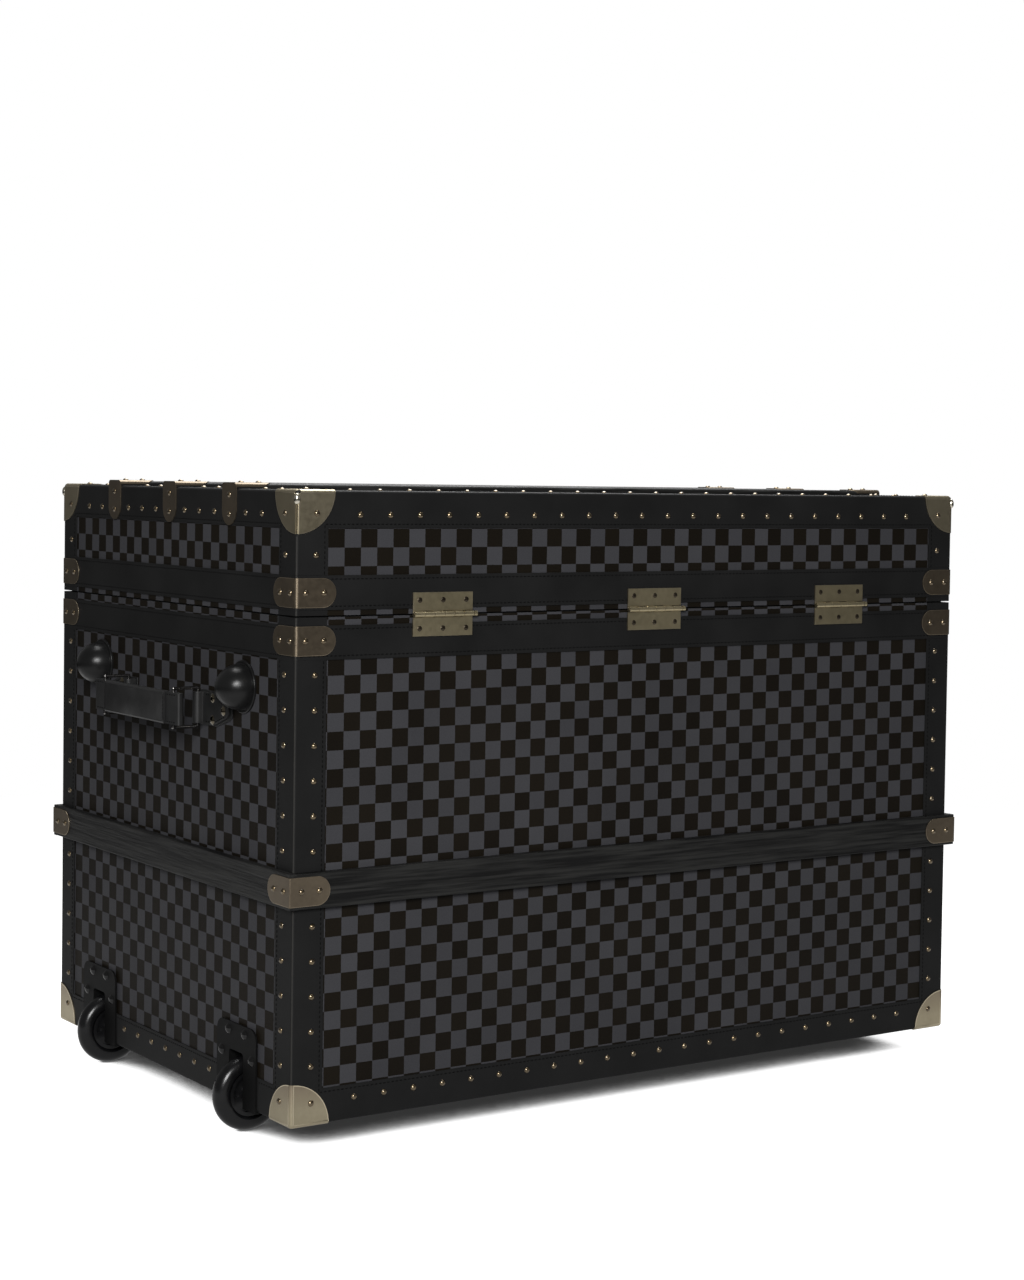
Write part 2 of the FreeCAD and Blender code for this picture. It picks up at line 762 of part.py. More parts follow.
def hinge_leaves(name, up, turns):
    """One leaf for each hinge. up is 1 for the lid's leaf, and turns are the knuckles it has."""
    leaves = []
    for i, x in enumerate(hinge_places):
        start = x - s.hinge_length / 2
        pieces = [
            block(
                f"{name}_plate_{i}",
                (start, start + s.hinge_length),
                (half_y, half_y + s.hinge_leaf_thick),
                (hinge_z, hinge_z + s.hinge_leaf_height) if up > 0 else (hinge_z - s.hinge_leaf_height, hinge_z),
            )
        ]
        gaps = []
        for k in range(KNUCKLES):
            length = (start + knuckle * k, start + knuckle * (k + 1))
            if k in turns:
                inner = (length[0] + s.knuckle_play / 2, length[1] - s.knuckle_play / 2)
                pieces.append(rod(f"{name}_knuckle_{i}_{k}", "x", (hinge_y, hinge_z), s.knuckle_radius, inner))
            else:
                gaps.append(
                    block(
                        f"{name}_gap_{i}_{k}",
                        (length[0] - s.knuckle_play / 2, length[1] + s.knuckle_play / 2),
                        (half_y - 1, half_y + s.knuckle_radius * 3),
                        around(hinge_z, s.knuckle_radius + s.knuckle_play),
                    )
                )
        bore = rod(
            f"{name}_bore_{i}",
            "x",
            (hinge_y, hinge_z),
            s.hinge_pin_radius + s.running_play,
            (start - 1, start + s.hinge_length + 1),
        )
        leaves.append(cut(f"{name}_{i}", joined(f"{name}_blank_{i}", pieces), gaps + [bore]))
    return group(name, leaves)


node("hinge_leaves_lid", hinge_leaves("LidLeaves", 1, (1, 3, 5)))
node("hinge_leaves_body", hinge_leaves("BodyLeaves", -1, (0, 2, 4)))

pins = []
for i, x in enumerate(hinge_places):
    start = x - s.hinge_length / 2
    axis = (hinge_y, hinge_z)
    head_end = start - s.knuckle_play
    shaft = rod(f"HingePinShaft_{i}", "x", axis, s.hinge_pin_radius, (head_end - 1, start + s.hinge_length))
    head = rod(f"HingePinHead_{i}", "x", axis, s.knuckle_radius, (start - s.pin_head_length, head_end))
    pins.append(joined(f"HingePin_{i}", [shaft, head]))
node("hinge_pins", group("HingePins", pins))


# Wheels: a rubber tyre on a moulded hub, turning on a steel axle in a pressed housing.
def turned(name, outline, base):
    """A body turned about its own Z axis, moved so that the axis runs along Y through base."""
    body = doc.addObject("PartDesign::Body", name)
    sketch = body.newObject("Sketcher::SketchObject", name + "_outline")
    plane = [f for f in body.Origin.OriginFeatures if f.Role == "XZ_Plane"][0]
    sketch.AttachmentSupport = [(plane, "")]
    sketch.MapMode = "FlatFace"
    points = [(as_size(r), as_size(h)) for r, h in outline]
    for (r0, h0), (r1, h1) in zip(points, points[1:] + points[:1]):
        sketch.addGeometry(
            Part.LineSegment(
                FreeCAD.Vector(r0.value, h0.value, 0), FreeCAD.Vector(r1.value, h1.value, 0)
            )
        )
    count = len(points)
    for i in range(count):
        sketch.addConstraint(Sketcher.Constraint("Coincident", i, 2, (i + 1) % count, 1))
    for i, (r, h) in enumerate(points):
        for kind, place in (("DistanceX", r), ("DistanceY", h)):
            index = sketch.addConstraint(Sketcher.Constraint(kind, -1, 1, i, 1, place.value))
            sketch.setExpression(f"Constraints[{index}]", place.text)
    revolve = body.newObject("PartDesign::Revolution", name + "_turn")
    revolve.Profile = sketch
    revolve.ReferenceAxis = (sketch, ["V_Axis"])
    revolve.Angle = 360
    body.Placement = FreeCAD.Placement(FreeCAD.Vector(), TURN_FROM_Z["y"])
    for axis, place in zip(AXES, base):
        body.setExpression("Placement.Base." + axis, as_size(place).text)
    return body, revolve


tyre_inner = s.wheel_radius - s.tyre_depth
tyre_half = s.wheel_width / 2
hub_bore = s.axle_radius + s.running_play
HUB_RECESSES = 5

for side_name, sy in (("back", 1), ("front", -1)):
    centre = (wheel_x, at_sign(sy, s.wheel_spacing), s.wheel_radius)
    tyre, tread = turned(
        f"Tyre_{side_name}",
        [
            (tyre_inner, -tyre_half),
            (s.wheel_radius, -tyre_half),
            (s.wheel_radius, tyre_half),
            (tyre_inner, tyre_half),
        ],
        centre,
    )
    doc.recompute()
    last = tread
    for part_name, radius, turn_radius in (
        ("shoulders", s.tyre_round, s.wheel_radius),
        ("inner_edges", s.tyre_inner_round, tyre_inner),
    ):
        fillet = tyre.newObject("PartDesign::Fillet", f"Tyre_{side_name}_{part_name}")
        ring_edges = [
            f"Edge{k}"
            for k, edge in enumerate(last.Shape.Edges, start=1)
            if edge.Closed and hasattr(edge.Curve, "Radius") and abs(edge.Curve.Radius - turn_radius.value) < 0.01
        ]
        fillet.Base = (last, ring_edges)
        fillet.setExpression("Radius", radius.text)
        doc.recompute()
        last = fillet
    tyre.Tip = last
    node(f"wheel_tyre_{side_name}", tyre)

    rim_inner = tyre_inner - 4
    hub, turn = turned(
        f"Hub_{side_name}",
        [
            (hub_bore, -s.boss_width / 2),
            (s.boss_radius, -s.boss_width / 2),
            (s.boss_radius, -s.web_width / 2),
            (rim_inner, -s.web_width / 2),
            (rim_inner, -s.rim_width / 2),
            (tyre_inner, -s.rim_width / 2),
            (tyre_inner, s.rim_width / 2),
            (rim_inner, s.rim_width / 2),
            (rim_inner, s.web_width / 2),
            (s.boss_radius, s.web_width / 2),
            (s.boss_radius, s.boss_width / 2),
            (hub_bore, s.boss_width / 2),
        ],
        centre,
    )
    recesses = []
    ring = (s.boss_radius + rim_inner) / 2
    web_face = s.web_width / 2
    for k in range(HUB_RECESSES):
        turn_angle = math.radians(360 * k / HUB_RECESSES)
        place = (centre[0] + ring * math.cos(turn_angle), centre[2] + ring * math.sin(turn_angle))
        radius = (rim_inner - s.boss_radius) / 2 - 1.2
        for j, span in enumerate(
            (
                (centre[1] + web_face - s.hub_recess, centre[1] + s.web_width),
                (centre[1] - s.web_width, centre[1] - web_face + s.hub_recess),
            )
        ):
            recesses.append(rod(f"HubRecess_{side_name}_{k}_{j}", "y", place, radius, span))
    node(f"wheel_hub_{side_name}", cut(f"HubCut_{side_name}", hub, recesses))

housings = []
axles = []
for i, sy in enumerate(SIDES):
    middle = at_sign(sy, s.wheel_spacing)
    slot = around(middle, s.well_slot_width / 2)
    plate_y = around(middle, s.housing_plate_width / 2)
    face_x = half_x + s.housing_plate_thick
    low_z = under_z - s.housing_plate_thick
    plate_base = block(f"HousingFace_{i}", (half_x, face_x), plate_y, (low_z, under_z + s.housing_plate_height))
    plate = rounded(
        f"HousingFaceRound_{i}",
        plate_base,
        s.housing_plate_round,
        lambda box: box.YLength + box.ZLength < 0.01 and box.ZMin > under_z.value,
    )
    shell = joined(
        f"HousingShell_{i}",
        [
            plate,
            block(f"HousingFoot_{i}", (half_x - s.housing_foot_depth, face_x), plate_y, (low_z, under_z)),
            block(
                f"HousingBox_{i}",
                (half_x - s.well_depth, face_x),
                around(middle, s.well_slot_width / 2 + s.well_wall),
                (low_z, pocket_top),
            ),
        ],
    )
    slot_block = rounded(
        f"HousingSlot_{i}",
        block(
            f"HousingSlotBlock_{i}",
            (half_x - s.well_depth + s.well_wall, half_x + FAR),
            slot,
            (under_z - FAR, under_z + s.well_slot_height),
        ),
        s.well_slot_round,
        lambda box: box.YLength + box.ZLength < 0.01 and box.ZMin > under_z.value,
    )
    wall_span = around(middle, s.well_slot_width / 2 + s.well_wall)
    axle_hole = rod(f"HousingAxleHole_{i}", "y", (wheel_x, s.wheel_radius), s.axle_radius, wall_span)
    housings.append(cut(f"Housing_{i}", shell, [slot_block, axle_hole]))
    head_out = s.well_slot_width / 2 + s.well_wall + s.axle_head_thick
    axles.append(
        joined(
            f"Axle_{i}",
            [
                rod(f"AxleShaft_{i}", "y", (wheel_x, s.wheel_radius), s.axle_radius, around(middle, head_out)),
                rod(
                    f"AxleHeadA_{i}",
                    "y",
                    (wheel_x, s.wheel_radius),
                    s.axle_head_radius,
                    (middle + head_out - s.axle_head_thick, middle + head_out),
                ),
                rod(
                    f"AxleHeadB_{i}",
                    "y",
                    (wheel_x, s.wheel_radius),
                    s.axle_head_radius,
                    (middle - head_out, middle - head_out + s.axle_head_thick),
                ),
            ],
        )
    )
node("wheel_housings", group("WheelHousings", housings))
node("wheel_axles", group("WheelAxles", axles))


# Rubber feet: domes on the wheel end, to stand the trunk upright level with the wheels,
# and flat-soled feet under the plain end. Each has a stud moulded in.
ring_x = layer_x + s.foot_flange_thick
ring_z = under_z + s.binding_thick - s.foot_flange_thick


def dome_foot(name, y):
    dome = doc.addObject("Part::Ellipsoid", name + "_dome")
    dome.Placement = FreeCAD.Placement(FreeCAD.Vector(), TURN_FROM_Z["x"])
    dome.setExpression("Radius1", (half_x + s.dome_proud - ring_x).text)
    dome.setExpression("Radius2", s.dome_radius.text)
    dome.Angle1 = 0
    dome.Angle2 = 90
    for axis, place in zip(AXES, (ring_x, y, dome_z)):
        dome.setExpression("Placement.Base." + axis, as_size(place).text)
    ring = rod(name + "_ring", "x", (y, dome_z), s.foot_flange_radius, (layer_x, ring_x))
    ring_round = rounded(name + "_ring_round", ring, 1, lambda box: box.XMin > half_x.value and box.XLength < 0.01)
    stud = rod(name + "_stud", "x", (y, dome_z), s.stud_radius, (layer_x - s.stud_length, layer_x))
    return joined(name, [dome, ring_round, stud])


def floor_foot(name, y):
    cone = doc.addObject("Part::Cone", name + "_cone")
    cone.setExpression("Radius1", s.floor_foot_sole.text)
    cone.setExpression("Radius2", s.floor_foot_radius.text)
    cone.setExpression("Height", ring_z.text)
    cone.setExpression("Placement.Base.x", floor_foot_x.text)
    cone.setExpression("Placement.Base.y", as_size(y).text)
    face_z = under_z + s.binding_thick
    ring = rod(name + "_ring", "z", (floor_foot_x, y), s.foot_flange_radius, (ring_z, face_z))
    stud = rod(name + "_stud", "z", (floor_foot_x, y), s.stud_radius, (face_z, face_z + s.stud_length))
    return joined(name, [cone, ring, stud])


feet = []
for i, sy in enumerate(SIDES):
    feet.append(dome_foot(f"DomeFoot_{i}", at_sign(sy, s.foot_spacing)))
    feet.append(floor_foot(f"FloorFoot_{i}", at_sign(sy, s.foot_spacing)))
node("rubber_feet", group("RubberFeet", feet))


# End handles: a leather grip carried by two wire rings, each hinged in a riveted tab.
def ring_solid(name, x, y):
    """A rectangular wire ring standing out from the end face, at hinge line x, y."""
    reach = (x, x + s.ring_reach) if x.value > 0 else (x - s.ring_reach, x)
    low = handle_z - s.ring_height / 2
    high = handle_z + s.ring_height / 2
    posts = [
        rod(f"{name}_post_{k}", "z", (place, y), s.wire_radius, (low, high)) for k, place in enumerate(reach)
    ]
    arms = [rod(f"{name}_arm_{k}", "x", (y, level), s.wire_radius, reach) for k, level in enumerate((low, high))]
    balls = []
    for k, place in enumerate(reach):
        for m, level in enumerate((low, high)):
            ball = doc.addObject("Part::Sphere", f"{name}_ball_{k}_{m}")
            ball.setExpression("Radius", s.wire_radius.text)
            for axis, coordinate in zip(AXES, (place, y, level)):
                ball.setExpression("Placement.Base." + axis, as_size(coordinate).text)
            balls.append(ball)
    return joined(name, posts + arms + balls)


def grip_solid(name, sx):
    """The padded grip with its two end wraps, bored for the rings' wires."""
    wire_x = half_x + s.ring_root + s.ring_reach
    pad_z = around(handle_z, s.grip_height / 2)
    pad_start = wire_x - s.grip_thick / 2 + 1.5
    pad_base = block(name + "_pad_block", sided(sx, pad_start, pad_start + s.grip_thick), (-s.grip_half, s.grip_half), pad_z)
    pad = rounded(name + "_pad", pad_base, 3, lambda box: box.YLength > 50)
    wraps = []
    bores = []
    wrap_half = s.wrap_thick / 2
    for k, sy in enumerate(SIDES):
        wire_y = at_sign(sy, s.handle_spacing)
        wrap_base = block(
            f"{name}_wrap_block_{k}",
            sided(sx, wire_x - wrap_half, wire_x + wrap_half),
            sided(sy, s.grip_half - 5, s.handle_spacing + s.grip_wrap),
            around(handle_z, s.tab_half_height),
        )
        wraps.append(
            rounded(
                f"{name}_wrap_{k}",
                wrap_base,
                3,
                lambda box: box.ZLength > 20 and max(abs(box.YMin), abs(box.YMax)) > s.handle_spacing.value,
            )
        )
        bores.append(
            rod(
                f"{name}_bore_{k}",
                "z",
                (at_sign(sx, wire_x), wire_y),
                s.wire_radius + s.wire_play,
                (handle_z - s.grip_height, handle_z + s.grip_height),
            )
        )
    return cut(name, joined(name + "_blank", [pad] + wraps), bores)


END_NAMES = ((1, "wheel_end"), (-1, "plain_end"))
for sx, end in END_NAMES:
    pivot_x = at_sign(sx, half_x + s.ring_root)
    node(f"ring_{end}_back", ring_solid(f"Ring_{end}_back", pivot_x, s.handle_spacing))
    node(f"ring_{end}_front", ring_solid(f"Ring_{end}_front", pivot_x, -s.handle_spacing))
    node(f"grip_{end}", grip_solid(f"Grip_{end}", sx))


def tab_outline(margin):
    """Half the tab's outline, as (along, half height), out from the ring's hinge line."""
    m = margin.value
    return (
        (-m - 4, s.tab_half_height.value + m / 2),
        (s.tab_shoulder.value, s.tab_half_height.value + m / 2),
        (s.tab_length.value - 6 + m, s.tab_tip_half_height.value + m / 2),
        (s.tab_length.value + m, s.tab_tip_half_height.value - 4 + m / 2),
    )


def tab_plate(sx, sy, margin, low, high):
    """A flat tab of that outline, between two heights above the canvas."""
    outline = tab_outline(margin)
    points = [(a, h) for a, h in outline] + [(a, -h) for a, h in reversed(outline)]
    y0 = s.handle_spacing.value
    wire = Part.makePolygon(
        [
            FreeCAD.Vector(sx * low, sy * (y0 + a), handle_z.value + h)
            for a, h in points + points[:1]
        ]
    )
    return Part.Face(wire).extrude(FreeCAD.Vector(sx * (high - low), 0, 0))


canvas_x = layer_x.value
tab_solids = []
backing_solids = []
for sx, end in END_NAMES:
    for sy in SIDES:
        backing_top = canvas_x + s.backing_thick.value
        backing_solids.append(tab_plate(sx, sy, s.backing_margin, canvas_x, backing_top))
        plate = tab_plate(sx, sy, Size(0), backing_top, backing_top + s.tab_thick.value)
        pivot = FreeCAD.Vector(
            sx * (half_x + s.ring_root).value, sy * s.handle_spacing.value, (handle_z - s.tab_half_height).value
        )
        height = (s.tab_half_height * 2).value
        up = FreeCAD.Vector(0, 0, 1)
        loop_outer = Part.makeCylinder(s.tab_loop_radius.value, height, pivot, up)
        loop_bore = Part.makeCylinder((s.wire_radius + s.wire_play).value, height, pivot, up)
        root = Part.makeBox(
            abs(pivot.x) - backing_top,
            s.tab_loop_radius.value * 2,
            height,
            FreeCAD.Vector(
                min(sx * backing_top, pivot.x), pivot.y - s.tab_loop_radius.value, pivot.z
            ),
        )
        span = s.tab_length.value * 4
        keep = Part.makeBox(
            span,
            span,
            height * 3,
            FreeCAD.Vector(min(sx * backing_top, sx * (backing_top + span)), pivot.y - span / 2, pivot.z - height),
        )
        tab = plate.fuse([loop_outer, root]).common(keep).cut(loop_bore).removeSplitter()
        tab_solids.append(tab.Solids[0])


def fixed_shape(name, shape):
    """A piece whose shape is set from the sheet's values in this script."""
    feature = doc.addObject("Part::Feature", name)
    feature.Shape = shape
    return feature


node("handle_tabs", fixed_shape("HandleTabs", Part.makeCompound(tab_solids)))
node("handle_backings", fixed_shape("HandleBackings", Part.makeCompound(backing_solids)))


# Fasteners. Each group is copies of one turned shape: head out, shank in.
def fastener(head_radius, head_height, shank_radius, shank_length):
    """A domed head above z = 0 and a shank below it."""
    head_radius, head_height = head_radius.value, head_height.value
    sphere_radius = (head_radius**2 + head_height**2) / (2 * head_height)
    middle = head_radius * 0.6
    middle_height = math.sqrt(sphere_radius**2 - middle**2) - (sphere_radius - head_height)
    top = FreeCAD.Vector(0, 0, head_height)
    rim = FreeCAD.Vector(head_radius, 0, 0)
    arc = Part.Arc(top, FreeCAD.Vector(middle, 0, middle_height), rim).toShape()
    corners = [
        rim,
        FreeCAD.Vector(shank_radius.value, 0, 0),
        FreeCAD.Vector(shank_radius.value, 0, -shank_length.value),
        FreeCAD.Vector(0, 0, -shank_length.value),
        top,
    ]
    lines = [Part.LineSegment(a, b).toShape() for a, b in zip(corners, corners[1:])]
    face = Part.Face(Part.Wire([arc] + lines))
    return face.revolve(FreeCAD.Vector(), FreeCAD.Vector(0, 0, 1), 360)


def with_slot(shape):
    """A screw with a straight slot across its head."""
    width, depth = s.screw_slot_width.value, s.screw_slot_depth.value
    length = s.screw_head_radius.value * 3
    corner = FreeCAD.Vector(-length / 2, -width / 2, s.screw_head_height.value - depth)
    return shape.cut(Part.makeBox(length, width, depth * 2, corner))


def placed(shape, place, outward):
    """A copy of the shape at a place, with its head facing outward."""
    copy = shape.copy()
    turn = FreeCAD.Rotation(FreeCAD.Vector(0, 0, 1), FreeCAD.Vector(*outward))
    copy.Placement = FreeCAD.Placement(FreeCAD.Vector(*place), turn)
    return copy


nail = fastener(s.nail_head_radius, s.nail_head_height, s.nail_shank_radius, s.nail_shank_length)
hx, hy = half_x.value, half_y.value
pitch = s.nail_pitch.value
inset = s.nail_inset.value
metal = s.plate_thick.value
row_count_x = int((s.trunk_length.value - 2 * s.cap_reach.value - 56) // pitch) + 1
row_x = [(k - (row_count_x - 1) / 2) * pitch for k in range(row_count_x)]
row_half_y = int((hy - s.cap_reach.value - pitch / 2) // pitch)
row_y = [k * pitch for k in range(-row_half_y, row_half_y + 1)]
slat_row = [round(y.value / pitch) for y in slat_places]


def column(start, stop):
    """Levels one pitch apart that fit between two levels, centred there."""
    count = int((stop - start) // pitch) + 1
    first = (start + stop - (count - 1) * pitch) / 2
    return [first + k * pitch for k in range(count)]


def corner_nails(levels, out):
    """Nails at each level near each upright edge, on both faces."""
    return [
        spot
        for sx, sy in CORNERS
        for level in levels
        for spot in (
            ((sx * (hx + out), sy * (hy - inset), level), (sx, 0, 0)),
            ((sx * (hx - inset), sy * (hy + out), level), (0, sy, 0)),
        )
    ]


def cap_nails(level, flat_z, flat_side):
    """One nail in each of the three faces of each corner cap."""
    spots = corner_nails([level], metal)
    spots += [((sx * (hx - inset), sy * (hy - inset), flat_z), (0, 0, flat_side)) for sx, sy in CORNERS]
    return spots


def clip_nails(level, x, y, places):
    """Two nails in each leg of each corner clip. x and y are its outer faces."""
    return [
        spot
        for sx, sy in CORNERS
        for along in places
        for spot in (
            ((sx * x, sy * (y - metal - along), level), (sx, 0, 0)),
            ((sx * (x - metal - along), sy * y, level), (0, sy, 0)),
        )
    ]


# Nails of a clip, from its corner: the belt's and the slats', and those at the rim.
belt_places = (s.clip_reach.value * 0.28, s.clip_reach.value * 0.73)
rim_places = (s.clip_reach.value * 0.24, s.clip_reach.value * 0.7)
body_under = under_z.value
lower = column(body_under + s.cap_reach.value + 12, batten[0].value - 15.5)
upper = column(batten[1].value + 17, body_band[0].value - 12)
body_spots = corner_nails(lower + upper, 0)
body_spots += cap_nails(body_under + inset, body_under - metal, -1)
body_spots += clip_nails(body_clip_z.value, hx + metal, hy + metal, rim_places)
body_spots += clip_nails(batten_z.value, batten_x.value + metal, batten_y.value + metal, belt_places)
row_z = body_under + inset
body_spots += [((x, sy * hy, row_z), (0, sy, 0)) for x in row_x for sy in SIDES]
housing_half = (s.wheel_spacing - s.housing_plate_width / 2).value - s.nail_head_radius.value
body_spots += [((-hx, y, row_z), (-1, 0, 0)) for y in row_y]
body_spots += [((hx, y, row_z), (1, 0, 0)) for y in row_y if abs(y) < housing_half]
node("body_nails", fixed_shape("BodyNails", Part.makeCompound([placed(nail, *spot) for spot in body_spots])))

lid_top = top_z.value
lid_row_z = lid_top - inset - 1.5
slat_over = (slat_top_z + s.plate_thick).value
lid_spots = corner_nails([lid_z.value + s.lid_height.value / 2 - 2], 0)
lid_spots += cap_nails(lid_top - inset, lid_top + metal, 1)
lid_spots += clip_nails(lid_clip_z.value, hx + metal, hy + metal, rim_places)
lid_spots += [((x, sy * hy, lid_row_z), (0, sy, 0)) for x in row_x for sy in SIDES]
lid_spots += [((x, sy * (hy - inset), lid_top), (0, 0, 1)) for x in row_x for sy in SIDES]
end_row = [k * pitch for k in range(-row_half_y, row_half_y + 1) if k not in slat_row]
lid_spots += [((sx * hx, y, lid_row_z), (sx, 0, 0)) for y in end_row for sx in SIDES]
lid_spots += [((sx * (hx - inset), y, lid_top), (0, 0, 1)) for y in end_row for sx in SIDES]
for sx in SIDES:
    for y in slat_places:
        for along in belt_places:
            lid_spots.append(((sx * (hx - along), y.value, slat_over), (0, 0, 1)))
        for drop in (s.slat_clip_drop.value * 0.16, s.slat_clip_drop.value * 0.69):
            lid_spots.append(((sx * (hx + metal), y.value, lid_top - drop), (sx, 0, 0)))
node("lid_nails", fixed_shape("LidNails", Part.makeCompound([placed(nail, *spot) for spot in lid_spots])))

tab_rivet = fastener(s.tab_rivet_radius, s.nail_head_height, s.nail_shank_radius, s.nail_shank_length * 1.5)
tab_face = canvas_x + s.backing_thick.value + s.tab_thick.value
tab_spots = []
tab_rows = (
    (s.tab_shoulder.value - 3, 1),
    (s.tab_shoulder.value - 3, -1),
    (s.tab_length.value - 11, 0),
)
for sx in SIDES:
    for sy in SIDES:
        for along, rise in tab_rows:
            tab_spots.append(
                (
                    (
                        sx * tab_face,
                        sy * (s.handle_spacing.value + along),
                        handle_z.value + rise * s.tab_rivet_spread.value,
                    ),
                    (sx, 0, 0),
                )
            )
node("handle_rivets", fixed_shape("HandleRivets", Part.makeCompound([placed(tab_rivet, *spot) for spot in tab_spots])))

housing_bolt = fastener(s.bolt_head_radius, s.bolt_head_height, s.bolt_shank_radius, s.bolt_shank_length)
bolt_rows = ((s.bolt_upper_spread, s.bolt_upper_level), (s.bolt_lower_spread, s.bolt_lower_level))
bolt_spots = [
    (
        (
            hx + s.housing_plate_thick.value,
            sy * s.wheel_spacing.value + side * spread.value,
            body_under + level.value,
        ),
        (1, 0, 0),
    )
    for sy in SIDES
    for side in SIDES
    for spread, level in bolt_rows
]
node(
    "housing_bolts",
    fixed_shape("HousingBolts", Part.makeCompound([placed(housing_bolt, *spot) for spot in bolt_spots])),
)

# Front latches: three hasps hang from the lid over cases on the body. The middle one locks
# with a key, and the outer two with thumb bolts.
latch_places = (-s.latch_spacing, Size(0), s.latch_spacing)
LATCH_NAMES = ("left", "middle", "right")
case_top = seam_z - s.latch_case_top
case_low = case_top - s.latch_case_height
front = -half_y
case_front = front - s.latch_case_thick
bolt_z = seam_z - s.staple_drop
bolt_y = front - s.latch_case_thick / 2
bolt_half = s.bolt_bar / 2
channel_half = s.channel_width / 2
key_z = case_low + s.key_radius + 10
cases = []
for i, x in enumerate(latch_places):
    tools = [
        block(
            f"LatchChannel_{i}",
            around(x, channel_half),
            (case_front - 1, front - 0.6),
            (case_top - s.channel_depth, case_top + 1),
        ),
        block(
            f"LatchBore_{i}",
            (x - channel_half - s.bolt_throw + 2, x + channel_half + s.bolt_bar_length + 3),
            around(bolt_y, bolt_half + s.bolt_play),
            around(bolt_z, bolt_half + s.bolt_play),
        ),
    ]
    if i == 1:
        tools.append(
            rod(
                "KeyBore",
                "y",
                (x, key_z),
                s.key_radius + s.bolt_play,
                (case_front - 1, front - 0.6),
            )
        )
    else:
        tools.append(
            block(
                f"KnobSlot_{i}",
                (x + channel_half + 2, x + channel_half + s.bolt_throw + 8),
                (case_front - 1, bolt_y),
                around(bolt_z, s.knob_radius / 2 + s.bolt_play),
            )
        )
    case_y_span = (case_front, front + s.binding_thick)
    case_block = block(f"LatchCaseBlock_{i}", around(x, s.latch_case_width / 2), case_y_span, (case_low, case_top))
    case_round = rounded(f"LatchCaseRound_{i}", case_block, 4, lambda box: box.XLength + box.ZLength < 0.01)
    tools.append(block(f"LatchBandStep_{i}", (-FAR, FAR), (front, front + FAR), (body_band[0], case_top + 1)))
    cases.append(cut(f"LatchCase_{i}", case_round, tools))
node("latch_cases", group("LatchCases", cases))

hasp_axis_y = front - s.hasp_axis_out
hasp_axis_z = lid_z + s.hasp_axis_rise
hasp_back_y = case_front - s.bolt_play


def lug_span(x, side, near, far):
    """The limits of a lug on one side of x."""
    return (x + near, x + far) if side > 0 else (x - far, x - near)


plates = []
for i, (x, name) in enumerate(zip(latch_places, LATCH_NAMES)):
    third = s.hasp_width / 3
    hasp_half = s.hasp_width / 2
    axis = (hasp_axis_y, hasp_axis_z)
    bolt_start = x + channel_half + 1
    lugs = [
        rod(
            f"HaspLug_{i}_{k}",
            "x",
            axis,
            s.hasp_knuckle_radius,
            lug_span(x, side, third / 2 + s.knuckle_play, hasp_half),
        )
        for k, side in enumerate(SIDES)
    ]
    plate = block(
        f"HaspPlateFlat_{i}",
        around(x, hasp_half + 4),
        (front - s.hasp_plate_thick, front),
        (hasp_axis_z - s.hasp_knuckle_radius, lid_z + s.hasp_plate_height),
    )
    webs = [
        block(
            f"HaspWeb_{i}_{k}",
            lug_span(x, side, third / 2 + s.knuckle_play, hasp_half),
            (hasp_axis_y, front),
            around(hasp_axis_z, s.hasp_knuckle_radius * 0.8),
        )
        for k, side in enumerate(SIDES)
    ]
    pin = rod(f"HaspPin_{i}", "x", axis, s.hasp_pin_radius, around(x, hasp_half))
    plates.append(joined(f"HaspPlate_{i}", [plate, pin] + lugs + webs))

    hasp_y = (hasp_back_y - s.hasp_thick, hasp_back_y)
    tip_z = seam_z - s.hasp_drop + hasp_half
    leaf = joined(
        f"HaspLeaf_{i}",
        [
            block(f"HaspBlade_{i}", around(x, hasp_half), hasp_y, (tip_z, hasp_axis_z - s.hasp_knuckle_radius - 0.5)),
            rod(f"HaspTip_{i}", "y", (x, tip_z), hasp_half, hasp_y),
            block(f"HaspNeck_{i}", around(x, third / 2 - s.knuckle_play), hasp_y, (tip_z, hasp_axis_z)),
            rod(f"HaspKnuckle_{i}", "x", axis, s.hasp_knuckle_radius, around(x, third / 2 - s.knuckle_play)),
            block(
                f"Staple_{i}",
                around(x, s.staple_width / 2),
                (hasp_back_y - 0.5, front - 1.2),
                around(bolt_z, s.staple_height / 2),
            ),
        ],
    )
    holes = [
        rod(f"HaspBore_{i}", "x", axis, s.hasp_pin_radius + s.running_play, around(x, hasp_half)),
        block(
            f"StapleEye_{i}",
            around(x, s.staple_width),
            around(bolt_y, bolt_half + s.bolt_play),
            around(bolt_z, bolt_half + s.bolt_play),
        ),
    ]
    if name == "middle":
        holes.append(
            rod("HaspKeyHole", "y", (x, key_z), s.key_radius + 1, (hasp_y[0] - 1, hasp_y[1] + 1))
        )
    else:
        holes.append(
            block(
                f"HaspKnobSlot_{i}",
                (x + channel_half, x + hasp_half + 1),
                (hasp_y[0] - 1, hasp_y[1] + 1),
                around(bolt_z, s.knob_radius + 1.5),
            )
        )
    node(f"hasp_{name}", cut(f"Hasp_{i}", leaf, holes))

    bar = block(
        f"BoltBar_{i}",
        (bolt_start, bolt_start + s.bolt_bar_length),
        around(bolt_y, bolt_half),
        around(bolt_z, bolt_half),
    )
    if name == "middle":
        node("lock_bolt", bar)
    else:
        knob_x = bolt_start + s.bolt_throw + 3.2
        stem = rod(
            f"KnobStem_{i}", "y", (knob_x, bolt_z), s.knob_radius / 2, (case_front - s.knob_height, bolt_y)
        )
        cap = rod(
            f"KnobCap_{i}", "y", (knob_x, bolt_z), s.knob_radius, (case_front - s.knob_height, case_front - 0.5)
        )
        node(f"thumb_bolt_{name}", joined(f"ThumbBolt_{i}", [bar, stem, cap]))
